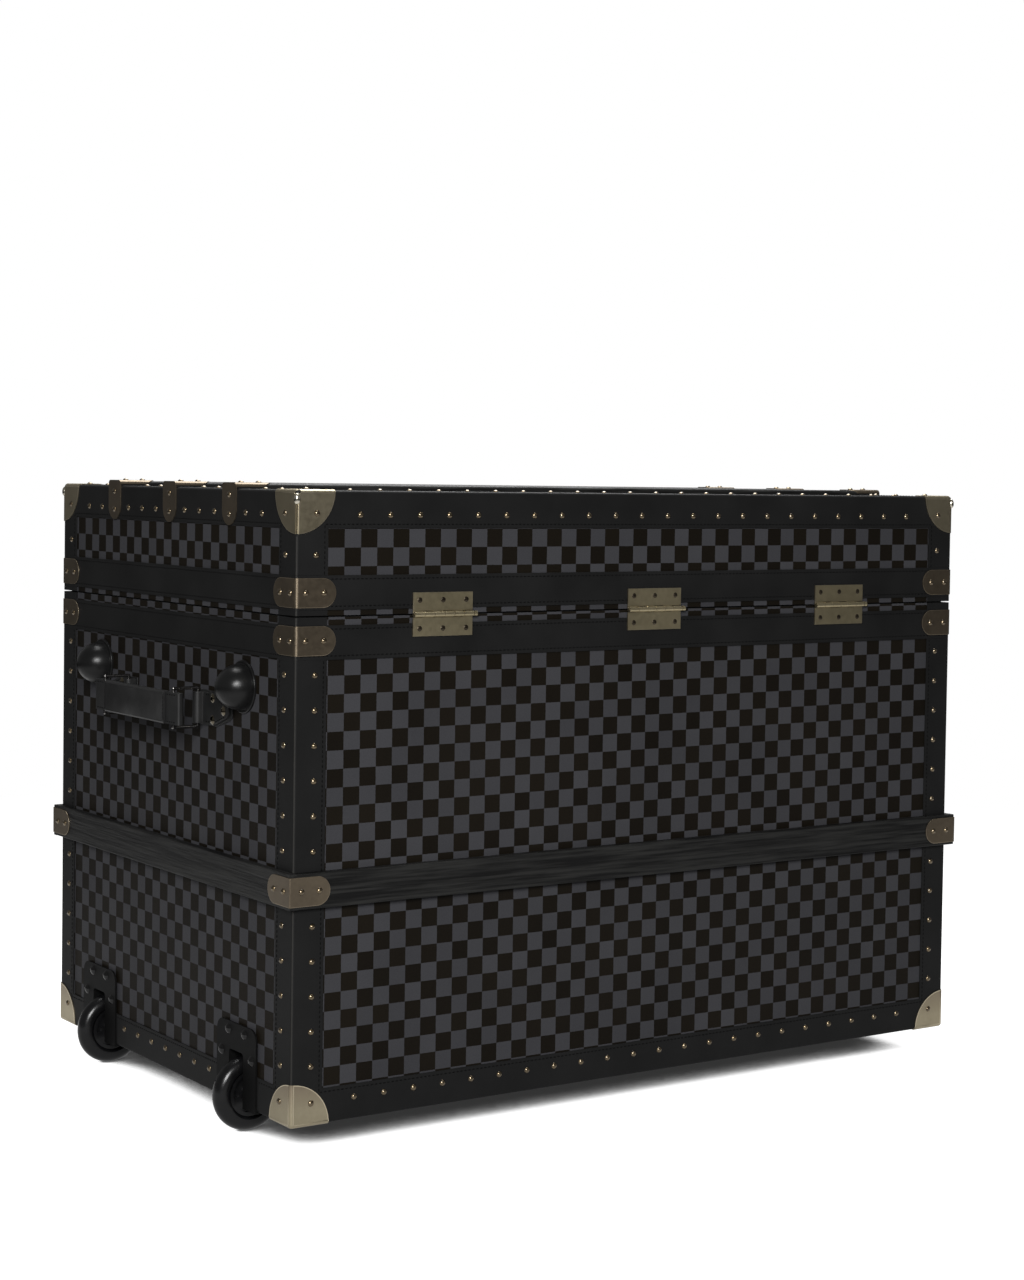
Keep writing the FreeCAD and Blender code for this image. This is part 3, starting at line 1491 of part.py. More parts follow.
node("hasp_plates", group("HaspPlates", plates))

key_face = case_front - s.key_proud
key_blank = rod("KeyCylinderBlank", "y", (0, key_z), s.key_radius, (key_face, front - 1))
key_slot = block(
    "KeySlot",
    around(0, s.key_slot_width / 2),
    (key_face - 1, key_face + 3),
    around(key_z, s.key_slot_length / 2),
)
node("key_cylinder", cut("KeyCylinder", key_blank, [key_slot]))

# Interior: a cabinet of three drawers at the wheel end, and a hanging rail at the other.
cabinet_end = half_x - s.well_depth - 1
cabinet_front = seam_z - s.cabinet_rim_gap
compartment = (cabinet_end - s.cabinet_start - s.cabinet_board * 4) / 3
compartments = []
for k in range(3):
    low_x = s.cabinet_start + s.cabinet_board + (compartment + s.cabinet_board) * k
    compartments.append((low_x, low_x + compartment))
bay_y = lined_y - s.cabinet_board
bay_z = lined_under_z + s.cabinet_board
node(
    "drawer_cabinet",
    cut(
        "DrawerCabinet",
        block("CabinetBlank", (s.cabinet_start, cabinet_end), (-lined_y, lined_y), (lined_under_z, cabinet_front)),
        [
            block(f"CabinetBay_{k}", x, (-bay_y, bay_y), (bay_z, cabinet_front + FAR))
            for k, x in enumerate(compartments)
        ],
    ),
)
DRAWER_NAMES = ("upper", "centre", "lower")
for k, (name, (x0, x1)) in enumerate(zip(DRAWER_NAMES, compartments)):
    x = (x0 + s.drawer_play, x1 - s.drawer_play)
    y = bay_y - s.drawer_play
    z = (bay_z + s.drawer_play, cabinet_front)
    node(
        f"drawer_{name}",
        cut(
            f"Drawer_{name}",
            block(f"DrawerBlank_{name}", x, (-y, y), z),
            [
                block(
                    f"DrawerHollow_{name}",
                    (x[0] - 1, x[1] - s.drawer_wall),
                    (-(y - s.drawer_wall), y - s.drawer_wall),
                    (z[0] + s.drawer_wall, z[1] - s.drawer_front),
                )
            ],
        ),
    )
    middle_x = (x[0] + x[1]) / 2
    pull_block = block(
        f"PullBlock_{name}",
        around(middle_x, s.pull_height / 2),
        around(0, s.pull_width / 2),
        (cabinet_front, cabinet_front + s.pull_height),
    )
    pull_gap = block(
        f"PullGap_{name}",
        around(middle_x, s.pull_height),
        around(0, s.pull_width / 2 - 10),
        (cabinet_front - 1, cabinet_front + s.pull_height - s.pull_thick),
    )
    node(f"drawer_pull_{name}", cut(f"Pull_{name}", pull_block, [pull_gap]))

rail_x = s.rail_from_end - half_x
rail_z = under_z + s.rail_level
rail_end = lined_y - s.socket_thick
node(
    "hanging_rail",
    cut(
        "HangingRail",
        rod("RailOuter", "y", (rail_x, rail_z), s.rail_radius, (-rail_end, rail_end)),
        [rod("RailInner", "y", (rail_x, rail_z), s.rail_radius - s.rail_wall, (-half_y, half_y))],
    ),
)
sockets = []
for i, sy in enumerate(SIDES):
    flange = rod(f"SocketFlange_{i}", "y", (rail_x, rail_z), s.socket_radius, sided(sy, rail_end, lined_y))
    cup = rod(
        f"SocketCup_{i}", "y", (rail_x, rail_z), s.rail_radius + 3, sided(sy, rail_end - s.socket_cup, rail_end)
    )
    bore = rod(
        f"SocketBore_{i}", "y", (rail_x, rail_z), s.rail_radius, sided(sy, rail_end - s.socket_cup - 1, rail_end)
    )
    sockets.append(cut(f"Socket_{i}", joined(f"SocketBlank_{i}", [flange, cup]), [bore]))
node("rail_sockets", group("RailSockets", sockets))

# Screws of the hinges, latch cases and hasp plates.
screw = with_slot(
    fastener(s.screw_head_radius, s.screw_head_height, s.screw_shank_radius, s.screw_shank_length)
)
leaf_y = (half_y + s.hinge_leaf_thick).value


def leaf_screws(side):
    level = (hinge_z + s.screw_row * side).value
    return [
        ((x.value + k * s.screw_spacing.value, leaf_y, level), (0, 1, 0)) for x in hinge_places for k in (-1, 0, 1)
    ]


case_screw_z = (case_low + 5).value
case_face = case_front.value
body_screw_spots = leaf_screws(-1) + [
    ((x.value + side * (s.latch_case_width.value / 2 - 5), case_face, level), (0, -1, 0))
    for x in latch_places
    for side in SIDES
    for level in (case_screw_z, (case_top - 5).value)
]
plate_face = (front - s.hasp_plate_thick).value
lid_screw_spots = leaf_screws(1) + [
    ((x.value + side * 12, plate_face, (lid_z + s.hasp_plate_height - 8).value), (0, -1, 0))
    for x in latch_places
    for side in SIDES
]
node("body_screws", fixed_shape("BodyScrews", Part.makeCompound([placed(screw, *spot) for spot in body_screw_spots])))
node("lid_screws", fixed_shape("LidScrews", Part.makeCompound([placed(screw, *spot) for spot in lid_screw_spots])))

# Build, check and write every piece.
doc.recompute()
for thing in doc.Objects:
    if "Invalid" in thing.State or "Error" in thing.State:
        raise RuntimeError(f"{thing.Name} failed: {thing.State}")
os.makedirs("parts", exist_ok=True)
for piece in nodes:
    shape = piece.Shape
    if shape.isNull() or not shape.isValid() or not shape.Solids:
        raise RuntimeError(f"{piece.Label} has no sound shape")
for piece in nodes:
    piece.Shape.exportStep(f"parts/{piece.Label}.step")
print(f"{len(nodes)} pieces")
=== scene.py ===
import math

import bpy
from mathutils import Matrix, Vector


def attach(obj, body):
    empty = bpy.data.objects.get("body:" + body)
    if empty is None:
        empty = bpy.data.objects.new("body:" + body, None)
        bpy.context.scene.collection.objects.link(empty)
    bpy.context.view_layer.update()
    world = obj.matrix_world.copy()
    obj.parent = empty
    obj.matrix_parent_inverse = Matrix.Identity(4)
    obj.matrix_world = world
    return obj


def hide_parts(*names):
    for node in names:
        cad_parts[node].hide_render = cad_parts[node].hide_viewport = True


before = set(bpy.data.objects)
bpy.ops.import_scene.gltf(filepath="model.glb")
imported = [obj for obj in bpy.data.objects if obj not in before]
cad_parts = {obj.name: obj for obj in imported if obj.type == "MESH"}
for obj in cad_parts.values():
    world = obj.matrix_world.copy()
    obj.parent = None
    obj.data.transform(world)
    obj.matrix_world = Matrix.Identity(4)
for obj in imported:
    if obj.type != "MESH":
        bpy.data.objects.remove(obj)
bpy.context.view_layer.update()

# Case of the trunk and its lid: boards of birch plywood, glued and nailed into two open boxes.
# The wood is left bare, with fine light and dark plies at its edges, and is black in a band round the
# rims, where lid and body meet.
plies_per_metre = 700
black_band_low = 0.545
black_band_high = 0.556


class Wire:
    """A value inside a material. Sums, products and comparisons of wires add Math nodes."""

    def __init__(self, tree, socket=None):
        self.tree = tree
        self.socket = socket

    def node(self, kind, settings, sockets, output=0):
        made = self.tree.nodes.new("ShaderNode" + kind)
        for name, value in settings.items():
            if name == "stops":
                for k, (place, colour) in enumerate(value):
                    stop = made.color_ramp.elements[k] if k < 2 else made.color_ramp.elements.new(place)
                    stop.position = place
                    stop.color = colour
            else:
                setattr(made, name, value)
        for name, value in sockets.items():
            if isinstance(value, Wire):
                self.tree.links.new(value.socket, made.inputs[name])
            else:
                made.inputs[name].default_value = value
        return Wire(self.tree, made.outputs[output]) if made.outputs else made

    def maths(self, operation, *values):
        return self.node("Math", {"operation": operation}, dict(enumerate(values)))

    def __add__(self, other):
        return self.maths("ADD", self, other)

    def __sub__(self, other):
        return self.maths("SUBTRACT", self, other)

    def __rsub__(self, other):
        return self.maths("SUBTRACT", other, self)

    def __mul__(self, other):
        return self.maths("MULTIPLY", self, other)

    def __mod__(self, other):
        return self.maths("FLOORED_MODULO", self, other)

    def __gt__(self, other):
        return self.maths("GREATER_THAN", self, other)

    def __lt__(self, other):
        return self.maths("LESS_THAN", self, other)

    def __floor__(self):
        return self.maths("FLOOR", self)

    def __abs__(self):
        return self.maths("ABSOLUTE", self)

    __radd__ = __add__
    __rmul__ = __mul__


def new_finish(name):
    """An empty material, and the wire from which its nodes are drawn."""
    finish = bpy.data.materials.new(name)
    finish.use_nodes = True
    finish.node_tree.nodes.clear()
    return finish, Wire(finish.node_tree)


def tone(*chart):
    """A colour from a paint chart, 0 to 255, as the light values that a shader takes."""
    linear = [c / 255 / 12.92 if c < 11 else ((c / 255 + 0.055) / 1.055) ** 2.4 for c in chart]
    return (*linear, 1)


def place_on(wire):
    """The point on the piece, in metres."""
    return wire.node("TexCoord", {}, {}, "Object")


def coordinate(wire, point, axis):
    return wire.node("SeparateXYZ", {}, {"Vector": point}, axis)


def noise(wire, point, scale, detail=2.0):
    return wire.node("TexNoise", {}, {"Vector": point, "Scale": scale, "Detail": detail}, "Fac")


def stretched(wire, point, scale):
    return wire.node("Mapping", {}, {"Vector": point, "Scale": scale})


def mixed(wire, share, first, second):
    return wire.node("Mix", {"data_type": "RGBA"}, {0: share, 6: first, 7: second}, 2)


def ramp(wire, value, *stops):
    return wire.node("ValToRGB", {"stops": stops}, {"Fac": value}, "Color")


def step(wire, value, low, high):
    """Rises from 0 to 1 as the value goes from low to high."""
    return wire.node("MapRange", {}, {"Value": value, "From Min": low, "From Max": high})


def bumped(wire, height, strength, distance):
    return wire.node("Bump", {}, {"Height": height, "Strength": strength, "Distance": distance})


def coat(wire, **sockets):
    """The shader of a finish and its output."""
    named = {name.replace("_", " "): value for name, value in sockets.items()}
    wire.node("OutputMaterial", {}, {"Surface": wire.node("BsdfPrincipled", {}, named)})


def wear(finish, *nodes):
    """Gives nodes of the frame a finish."""
    for node in nodes:
        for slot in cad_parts[node].material_slots:
            slot.material = finish


plywood, wire = new_finish("plywood")
point = place_on(wire)
z = coordinate(wire, point, "Z")
plies = (z * plies_per_metre) % 1 > 0.5
grain = noise(wire, stretched(wire, point, (30.0, 30.0, 400.0)), 3.0, 4.0)
light_ply = ramp(wire, grain, (0.3, tone(196, 160, 116)), (0.7, tone(214, 182, 140)))
bare_wood = mixed(wire, plies * 0.6, light_ply, tone(150, 112, 74))
# The rims are coloured black in a band at the level where lid and body meet.
at_rim = (z > black_band_low) * (z < black_band_high)
coat(
    wire,
    Base_Color=mixed(wire, at_rim, bare_wood, tone(9, 9, 9)),
    Roughness=0.7,
    Normal=bumped(wire, grain, 0.3, 0.0004),
)
wear(plywood, "body_case", "lid_case")

# Covering: coated canvas glued over the plywood, woven in dark grey and black squares of 19 mm.
# The squares of the body and of the lid don't quite line up, as two cut lengths seldom do.
half_length = 0.45
half_width = 0.289
face_depth = 0.002
square = 0.0192
row_height = 0.01905
first_row = 0.412


def checked_canvas(name, side_shift, side_rise, end_shift, end_rise):
    """The shifts move the squares along and up the side and end faces, in squares."""
    finish, wire = new_finish(name)
    point = place_on(wire)
    x, y, z = (coordinate(wire, point, axis) for axis in "XYZ")
    on_side = abs(y) > half_width - face_depth
    on_end = abs(x) > half_length - face_depth
    on_top = (1 - on_side) * (1 - on_end)
    across = (half_length - x) * (1 / square) + side_shift
    along = (y - half_width) * (1 / square) + end_shift
    rise = (z - first_row) * (1 / row_height)
    column = across + on_end * (along - across)
    row = on_top * along + on_side * (rise + side_rise) + on_end * (1 - on_side) * (rise + end_rise)
    cell_x = math.floor(column)
    cell_y = math.floor(row)
    grey = (cell_x + cell_y) % 2
    cell = wire.node("CombineXYZ", {}, {"X": cell_x, "Y": cell_y})
    chance = wire.node("TexWhiteNoise", {"noise_dimensions": "2D"}, {"Vector": cell}, "Value")
    threads = noise(wire, point, 900.0, 1.0)
    cloud = noise(wire, point, 9.0, 3.0)
    lightness = chance * 0.3 + threads * 0.5 + cloud * 0.5 - 0.15
    greys = ramp(wire, lightness, (0.2, tone(54, 54, 57)), (0.8, tone(65, 65, 68)))
    blacks = ramp(wire, lightness, (0.2, tone(15, 12, 8)), (0.8, tone(25, 21, 15)))
    coat(
        wire,
        Base_Color=mixed(wire, grey, blacks, greys),
        Roughness=0.62 - threads * 0.1,
        Specular_IOR_Level=0.07,
        Normal=bumped(wire, threads + grey * 0.3, 0.25, 0.0003),
    )
    return finish


canvas_of_body = checked_canvas(
    "canvas_of_body", side_shift=-0.006, side_rise=0.084, end_shift=1.098, end_rise=-0.681
)
canvas_of_lid = checked_canvas(
    "canvas_of_lid", side_shift=0.057, side_rise=-0.74, end_shift=-0.031, end_rise=-0.739
)
wear(canvas_of_body, "body_canvas")
wear(canvas_of_lid, "lid_canvas")

# Lining: a close warm grey cloth, glued to the inside of the body and of the lid.
# Its plain weave shows as fine ribs across and along.
lining_edge = 0.0002
merge_distance = 0.000002
flat_angle = math.radians(0.4)
smooth_angle = math.radians(30)
sharp_angle = math.radians(40)


def clean_copy(name, node):
    """The shape of a node as a piece of its own, merged and free of needless edges."""
    bpy.ops.object.select_all(action="DESELECT")
    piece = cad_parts[node].copy()
    piece.data = piece.data.copy()
    piece.name = name
    piece.data.name = name
    piece.parent = None
    piece.matrix_world = Matrix.Identity(4)
    bpy.context.scene.collection.objects.link(piece)
    piece.select_set(True)
    bpy.context.view_layer.objects.active = piece
    bpy.ops.mesh.customdata_custom_splitnormals_clear()
    bpy.ops.object.mode_set(mode="EDIT")
    bpy.ops.mesh.select_all(action="SELECT")
    bpy.ops.mesh.remove_doubles(threshold=merge_distance)
    bpy.ops.mesh.dissolve_limited(angle_limit=flat_angle)
    bpy.ops.mesh.vert_connect_concave()
    bpy.ops.object.mode_set(mode="OBJECT")
    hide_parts(node)
    return piece


def paint(piece, *finishes):
    piece.data.materials.clear()
    for finish in finishes:
        piece.data.materials.append(finish)


def smoothed(piece):
    """Smooth across rounded edges, with the flat faces between them left flat."""
    bpy.ops.object.shade_smooth_by_angle(angle=smooth_angle)
    flats = piece.modifiers.new("flat faces", "WEIGHTED_NORMAL")
    flats.keep_sharp = True
    flats.weight = 90
    bpy.ops.object.modifier_apply(modifier=flats.name)


def rounded_copy(name, node, rounding, rings=2, finishes=()):
    """A clean copy of a node with its sharp edges rounded, in the last finish if there are two."""
    piece = clean_copy(name, node)
    if finishes:
        paint(piece, *finishes)
    bevel = piece.modifiers.new("rounded edge", "BEVEL")
    bevel.width = rounding
    bevel.segments = rings
    bevel.limit_method = "ANGLE"
    bevel.angle_limit = sharp_angle
    bevel.use_clamp_overlap = True
    bevel.material = len(finishes) - 1
    bpy.ops.object.modifier_apply(modifier=bevel.name)
    smoothed(piece)
    return piece


def hang(piece, body):
    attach(piece, body)


def dress(piece, finish, body):
    """Gives a piece its one finish and its body."""
    paint(piece, finish)
    hang(piece, body)


lining, wire = new_finish("lining_cloth")
point = place_on(wire)
weave = {"Vector": point, "Scale": 260.0, "Distortion": 1.5}
ribs = wire.node("TexWave", {"bands_direction": "DIAGONAL"}, weave, "Fac")
wisps = noise(wire, point, 60.0, 4.0)
cloth = ribs * 0.5 + wisps * 0.5
coat(
    wire,
    Base_Color=ramp(wire, cloth, (0.3, tone(118, 108, 95)), (0.7, tone(146, 135, 120))),
    Roughness=0.92,
    Sheen_Weight=0.25,
    Normal=bumped(wire, ribs, 0.3, 0.0003),
)
for node, body in (("body_lining", "trunk_body"), ("lid_lining", "lid")):
    dress(rounded_copy(node + "_glued", node, lining_edge), lining, body)

# Bindings: black calf leather, glued over every edge of the body and of the lid and rolled thin
# at its own edges, with a wide band round each rim. The upright corners carry a painted
# highlight in light grey.
leather_edge = 0.0004
corner_round = 0.0019
highlight_below = 0.628


def hide_pores(wire, point, scale):
    sockets = {"Vector": point, "Scale": scale}
    return wire.node("TexVoronoi", {"feature": "SMOOTH_F1"}, sockets, "Distance")


binding_leather, wire = new_finish("binding_leather")
point = place_on(wire)
x, y, z = (coordinate(wire, point, axis) for axis in "XYZ")
pores = hide_pores(wire, point, 1100.0)
hide = noise(wire, point, 14.0, 5.0)
fine = noise(wire, point, 500.0, 3.0)
leather_tone = ramp(wire, hide, (0.3, tone(22, 22, 22)), (0.7, tone(29, 29, 29)))
# Painted highlight: the upright corners, below the lid's top, are painted a lighter grey.
on_corner = abs(x) + abs(y) > half_length + half_width - corner_round
corner_highlight = on_corner * (z < highlight_below) * (0.5 + fine * 0.4)
coat(
    wire,
    Base_Color=mixed(wire, corner_highlight, leather_tone, tone(52, 51, 49)),
    Roughness=0.5 + hide * 0.16,
    Specular_IOR_Level=0.1,
    Normal=bumped(wire, pores * 0.6 + fine * 0.6, 0.22, 0.0004),
)
for body, nodes in (
    ("trunk_body", ("body_edge_binding", "body_rim_band")),
    ("lid", ("lid_edge_binding", "lid_rim_band")),
):
    for node in nodes:
        dress(rounded_copy(node + "_leather", node, leather_edge), binding_leather, body)

# Seams: waxed black thread in stitches of 5 mm, sewn 4 mm inside each leather edge.
# One stitch is modelled, and every run of them is copied from it.
pitch = 0.005
inset = 0.0039
proud = 0.0001
stitch_radius = 0.001
stitch_shape = (1.75, 0.7, 0.45)
underside = 0.0293
lid_top = 0.6744
binding_width = 0.0365
lid_leg = 0.038
body_band = (0.503, 0.538)
lid_band = (0.5534, 0.5887)
band_end = 0.004
wheel_spacing = 0.173
housing_half = 0.046
bpy.ops.object.select_all(action="DESELECT")
bpy.ops.mesh.primitive_uv_sphere_add(
    segments=6, ring_count=4, radius=stitch_radius, rotation=(0, math.pi / 2, 0)
)
stitch = bpy.context.object
bpy.ops.object.transform_apply(rotation=True)
stitch.scale = stitch_shape
bpy.ops.object.transform_apply(scale=True)
bpy.ops.object.shade_smooth()


def seam(start, end, out, spacing=pitch):
    """A straight run of stitches from start to end, on a face that looks along out."""
    start, end, out = Vector(start), Vector(end), Vector(out)
    along = (end - start).normalized()
    side = out.cross(along)
    count = max(1, round((end - start).length / spacing))
    first = start + along * (end - start).length / count / 2
    run = stitch.copy()
    run.data = stitch.data.copy()
    bpy.context.scene.collection.objects.link(run)
    turn = Matrix((along, side, out)).transposed().to_4x4()
    run.matrix_world = Matrix.Translation(first) @ turn
    array = run.modifiers.new("run", "ARRAY")
    array.use_relative_offset = False
    array.use_constant_offset = True
    array.constant_offset_displace = ((end - start).length / count, 0, 0)
    array.count = count
    return run


def joined(name, parts, finish, body):
    """Makes one piece of many runs or beads, and leaves it selected."""
    bpy.ops.object.select_all(action="DESELECT")
    for part in parts:
        part.select_set(True)
    bpy.context.view_layer.objects.active = parts[0]
    bpy.ops.object.convert(target="MESH")
    bpy.ops.object.join()
    bpy.ops.object.transform_apply()
    piece = bpy.context.object
    piece.name = name
    piece.data.name = name
    dress(piece, finish, body)


thread, wire = new_finish("waxed_thread")
twist = noise(wire, place_on(wire), 2500.0, 2.0)
coat(
    wire,
    Base_Color=ramp(wire, twist, (0.3, tone(3, 3, 3)), (0.7, tone(10, 10, 10))),
    Roughness=0.7,
    Specular_IOR_Level=0.1,
    Normal=bumped(wire, twist, 0.4, 0.0002),
)
seam_x = half_length - binding_width + inset
seam_y = half_width - binding_width + inset
bottom_seam = underside + binding_width - inset
top_seam = lid_top - lid_leg + inset
body_runs = []
lid_runs = []
for side in (-1, 1):
    wall_x = side * (half_length + proud)
    wall_y = side * (half_width + proud)
    to_end = (side, 0, 0)
    to_side = (0, side, 0)
    for runs, low, high, leg, band in (
        (body_runs, bottom_seam, body_band[0], bottom_seam, body_band),
        (lid_runs, lid_band[1], top_seam, top_seam, lid_band),
    ):
        for hand in (-1, 1):
            upright_x = hand * seam_x
            upright_y = hand * seam_y
            runs.append(seam((upright_x, wall_y, low), (upright_x, wall_y, high), to_side))
            runs.append(seam((wall_x, upright_y, low), (wall_x, upright_y, high), to_end))
        runs.append(seam((-seam_x, wall_y, leg), (seam_x, wall_y, leg), to_side))
        stretches = ((-seam_y, seam_y),)
        if runs is body_runs and side > 0:
            inner = wheel_spacing - housing_half
            outer = wheel_spacing + housing_half
            stretches = ((-seam_y, -outer), (-inner, inner), (outer, seam_y))
        for start, end in stretches:
            runs.append(seam((wall_x, start, leg), (wall_x, end, leg), to_end))
        for level in (band[0] + inset, band[1] - inset):
            end_x = half_length - band_end
            end_y = half_width - band_end
            runs.append(seam((-end_x, wall_y, level), (end_x, wall_y, level), to_side))
            runs.append(seam((wall_x, -end_y, level), (wall_x, end_y, level), to_end))
for side in (-1, 1):
    line_x = side * seam_x
    line_y = side * seam_y
    for runs, face, out in (
        (body_runs, underside - proud, (0, 0, -1)),
        (lid_runs, lid_top + proud, (0, 0, 1)),
    ):
        runs.append(seam((-seam_x, line_y, face), (seam_x, line_y, face), out))
        runs.append(seam((line_x, -seam_y, face), (line_x, seam_y, face), out))
joined("seams_of_body", body_runs, thread, "trunk_body")
joined("seams_of_lid", lid_runs, thread, "lid")

# Battens: a belt of four ash battens round the body and three slats along the lid, stained
# black and sealed so thinly that the open grain still shows.
above_belt = 0.3
end_battens_from = half_length - 0.0005
black_wood, wire = new_finish("black_stained_ash")
point = place_on(wire)
x = coordinate(wire, point, "X")
z = coordinate(wire, point, "Z")
crosswise = (abs(x) > end_battens_from) * (z < above_belt)
long_grain = stretched(wire, point, (5.0, 130.0, 130.0))
cross_grain = stretched(wire, point, (130.0, 5.0, 130.0))
grain_point = wire.node(
    "Mix", {"data_type": "VECTOR"}, {0: crosswise, 4: long_grain, 5: cross_grain}, 1
)
pores = noise(wire, grain_point, 3.0, 6.0)
streaks = noise(wire, grain_point, 1.2, 3.0)
grain = pores * 0.6 + streaks * 0.4
coat(
    wire,
    Base_Color=ramp(wire, grain, (0.42, tone(6, 6, 6)), (0.6, tone(36, 36, 35))),
    Roughness=0.42 + pores * 0.2,
    Specular_IOR_Level=0.2,
    Normal=bumped(wire, pores * 0.8 + streaks * 0.4, 0.6, 0.0012),
)
wear(black_wood, "wooden_belt", "lid_slats")

# Corner caps: dark brass sheet, pressed over each corner, with a painted highlight along its edges.
# The clips are bent from the same sheet, browner with age, and carry a fainter painted highlight on
# theirs.
sheet = 0.001
cap_edge = 0.0005
clip_edge = 0.0003
belt_clip = 0.007 + sheet
tolerance = 0.0001
sharp_cosine = 0.3
square_cosine = 0.99
brown_from, brown_all = 0.045, 0.08


def worn_metal(name, dark, light, roughness, lacquer=0.0, browned=None):
    """Metal in tones from dark to light, turning brown from the lower of two heights to the upper."""
    finish, wire = new_finish(name)
    point = place_on(wire)
    patina = noise(wire, point, 22.0, 5.0)
    rub = noise(wire, point, 260.0, 3.0)
    colour = ramp(wire, patina * 0.7 + rub * 0.3, (0.3, dark), (0.7, light))
    if browned:
        above = step(wire, coordinate(wire, point, "Z"), *browned)
        colour = mixed(wire, above * (0.6 + patina * 0.4), colour, tone(126, 112, 98))
    coat(
        wire,
        Base_Color=colour,
        Metallic=1.0,
        Coat_Weight=lacquer,
        Coat_Roughness=0.05,
        Roughness=roughness + rub * 0.14,
        Normal=bumped(wire, rub, 0.05, 0.0003),
    )
    return finish


def deselect_mesh(piece):
    for element in (*piece.data.vertices, *piece.data.edges, *piece.data.polygons):
        element.select = False


cap_dark, cap_light = tone(157, 147, 124), tone(175, 165, 141)
cap_brass = worn_metal("cap_brass", cap_dark, cap_light, roughness=0.34)
foot_cap_brass = worn_metal(
    "foot_cap_brass", cap_dark, cap_light, roughness=0.34, browned=(brown_from, brown_all)
)
clip_brass = worn_metal("clip_brass", tone(108, 98, 84), tone(128, 116, 99), roughness=0.34)
# Painted highlight: a much lighter brass for the rounded edges and borders of caps, clips and hinge
# leaves.
edge_highlight_brass = worn_metal("edge_highlight_brass", tone(196, 184, 158), tone(216, 204, 178), roughness=0.26)
edge_highlight_clip = worn_metal("edge_highlight_clip_brass", tone(146, 133, 114), tone(166, 152, 131), roughness=0.3)
for node, body, finish, edge_finish, slot, raised, rounding, border in (
    ("body_corner_caps", "trunk_body", foot_cap_brass, edge_highlight_brass, "brass", sheet, cap_edge, 0.0009),
    ("lid_corner_caps", "lid", cap_brass, edge_highlight_brass, "brass", sheet, cap_edge, 0.0007),
    ("body_rim_clips", "trunk_body", clip_brass, edge_highlight_clip, "clip_brass", sheet, clip_edge, 0.0002),
    ("lid_rim_clips", "lid", clip_brass, edge_highlight_clip, "clip_brass", sheet, clip_edge, 0.0002),
    ("belt_clips", "trunk_body", clip_brass, edge_highlight_clip, "clip_brass", belt_clip, clip_edge, 0.0002),
):
    piece = clean_copy(node + "_pressed", node)
    paint(piece, finish, edge_finish)
    outer_x = half_length + raised - tolerance
    outer_y = half_width + raised - tolerance
    lowest = underside - sheet + tolerance
    highest = lid_top + sheet - tolerance
    sides = {}
    for face in piece.data.polygons:
        for key in face.edge_keys:
            sides.setdefault(key, []).append(face.normal)
    deselect_mesh(piece)
    # The edges with the painted highlight are the sharp ones outside, where a bottom cap's rolled lower
    # edge counts too.
    for edge in piece.data.edges:
        ends = [piece.data.vertices[k].co for k in edge.vertices]
        outside = all(
            abs(p.x) > outer_x or abs(p.y) > outer_y or p.z < lowest + tolerance or p.z > highest
            for p in ends
        )
        normals = sides[edge.key]
        edge.select = outside and len(normals) == 2 and normals[0].dot(normals[1]) < sharp_cosine
    bpy.context.tool_settings.mesh_select_mode = (False, True, False)
    bpy.ops.object.mode_set(mode="EDIT")
    bpy.ops.mesh.bevel(offset=rounding, segments=2, affect="EDGES", clamp_overlap=True, material=1)
    bpy.ops.object.mode_set(mode="OBJECT")
    deselect_mesh(piece)
    # The flat faces outside get a border of painted highlight, and are dark again within it.
    for face in piece.data.polygons:
        p, n = face.center, face.normal
        face.select = face.material_index == 0 and (
            (abs(p.x) > outer_x and abs(n.x) > square_cosine)
            or (abs(p.y) > outer_y and abs(n.y) > square_cosine)
            or ((p.z < lowest or p.z > highest) and abs(n.z) > square_cosine)
        )
        if face.select:
            face.material_index = 1
    bpy.context.tool_settings.mesh_select_mode = (False, False, True)
    bpy.ops.object.mode_set(mode="EDIT")
    bpy.ops.mesh.inset(thickness=border)
    piece.active_material_index = 0
    bpy.ops.object.material_slot_assign()
    bpy.ops.object.mode_set(mode="OBJECT")
    smoothed(piece)
    hang(piece, body)
dress(rounded_copy("slat_clips_pressed", "slat_clips", clip_edge), clip_brass, "lid")

# Beads: a polished brass bead in the open corner of each lid cap, where the folds of the cap
# meet. Its brass is much lighter than the caps', as a painted highlight. It is soldered in, and stands
# higher than it is wide.
bead_radius = 0.0034
bead_stretch = 1.7
bead_depth = 0.0008
bead_level = 0.6658
bpy.ops.object.select_all(action="DESELECT")
beads = []
for across in (-1, 1):
    for side in (-1, 1):
        corner = (across * (half_length - bead_depth), side * (half_width - bead_depth), bead_level)
        bpy.ops.mesh.primitive_uv_sphere_add(
            segments=20, ring_count=12, radius=bead_radius, location=corner
        )
        bpy.ops.transform.resize(value=(1, 1, bead_stretch))
        beads.append(bpy.context.object)
# Painted highlight: the beads' brass is much lighter than that of the caps.
highlight_bead_brass = worn_metal("highlight_bead_brass", tone(206, 200, 184), tone(226, 220, 204), roughness=0.16)
joined("cap_beads", beads, highlight_bead_brass, "lid")
bpy.ops.object.shade_smooth()

# Nails: brass nails with small domed heads, driven through the bindings into the plywood.
# Years of handling have darkened them and polished their crowns.
nail_brass = worn_metal("nail_brass", tone(94, 81, 61), tone(120, 105, 80), roughness=0.2, lacquer=0.8)
wear(nail_brass, "body_nails", "lid_nails")

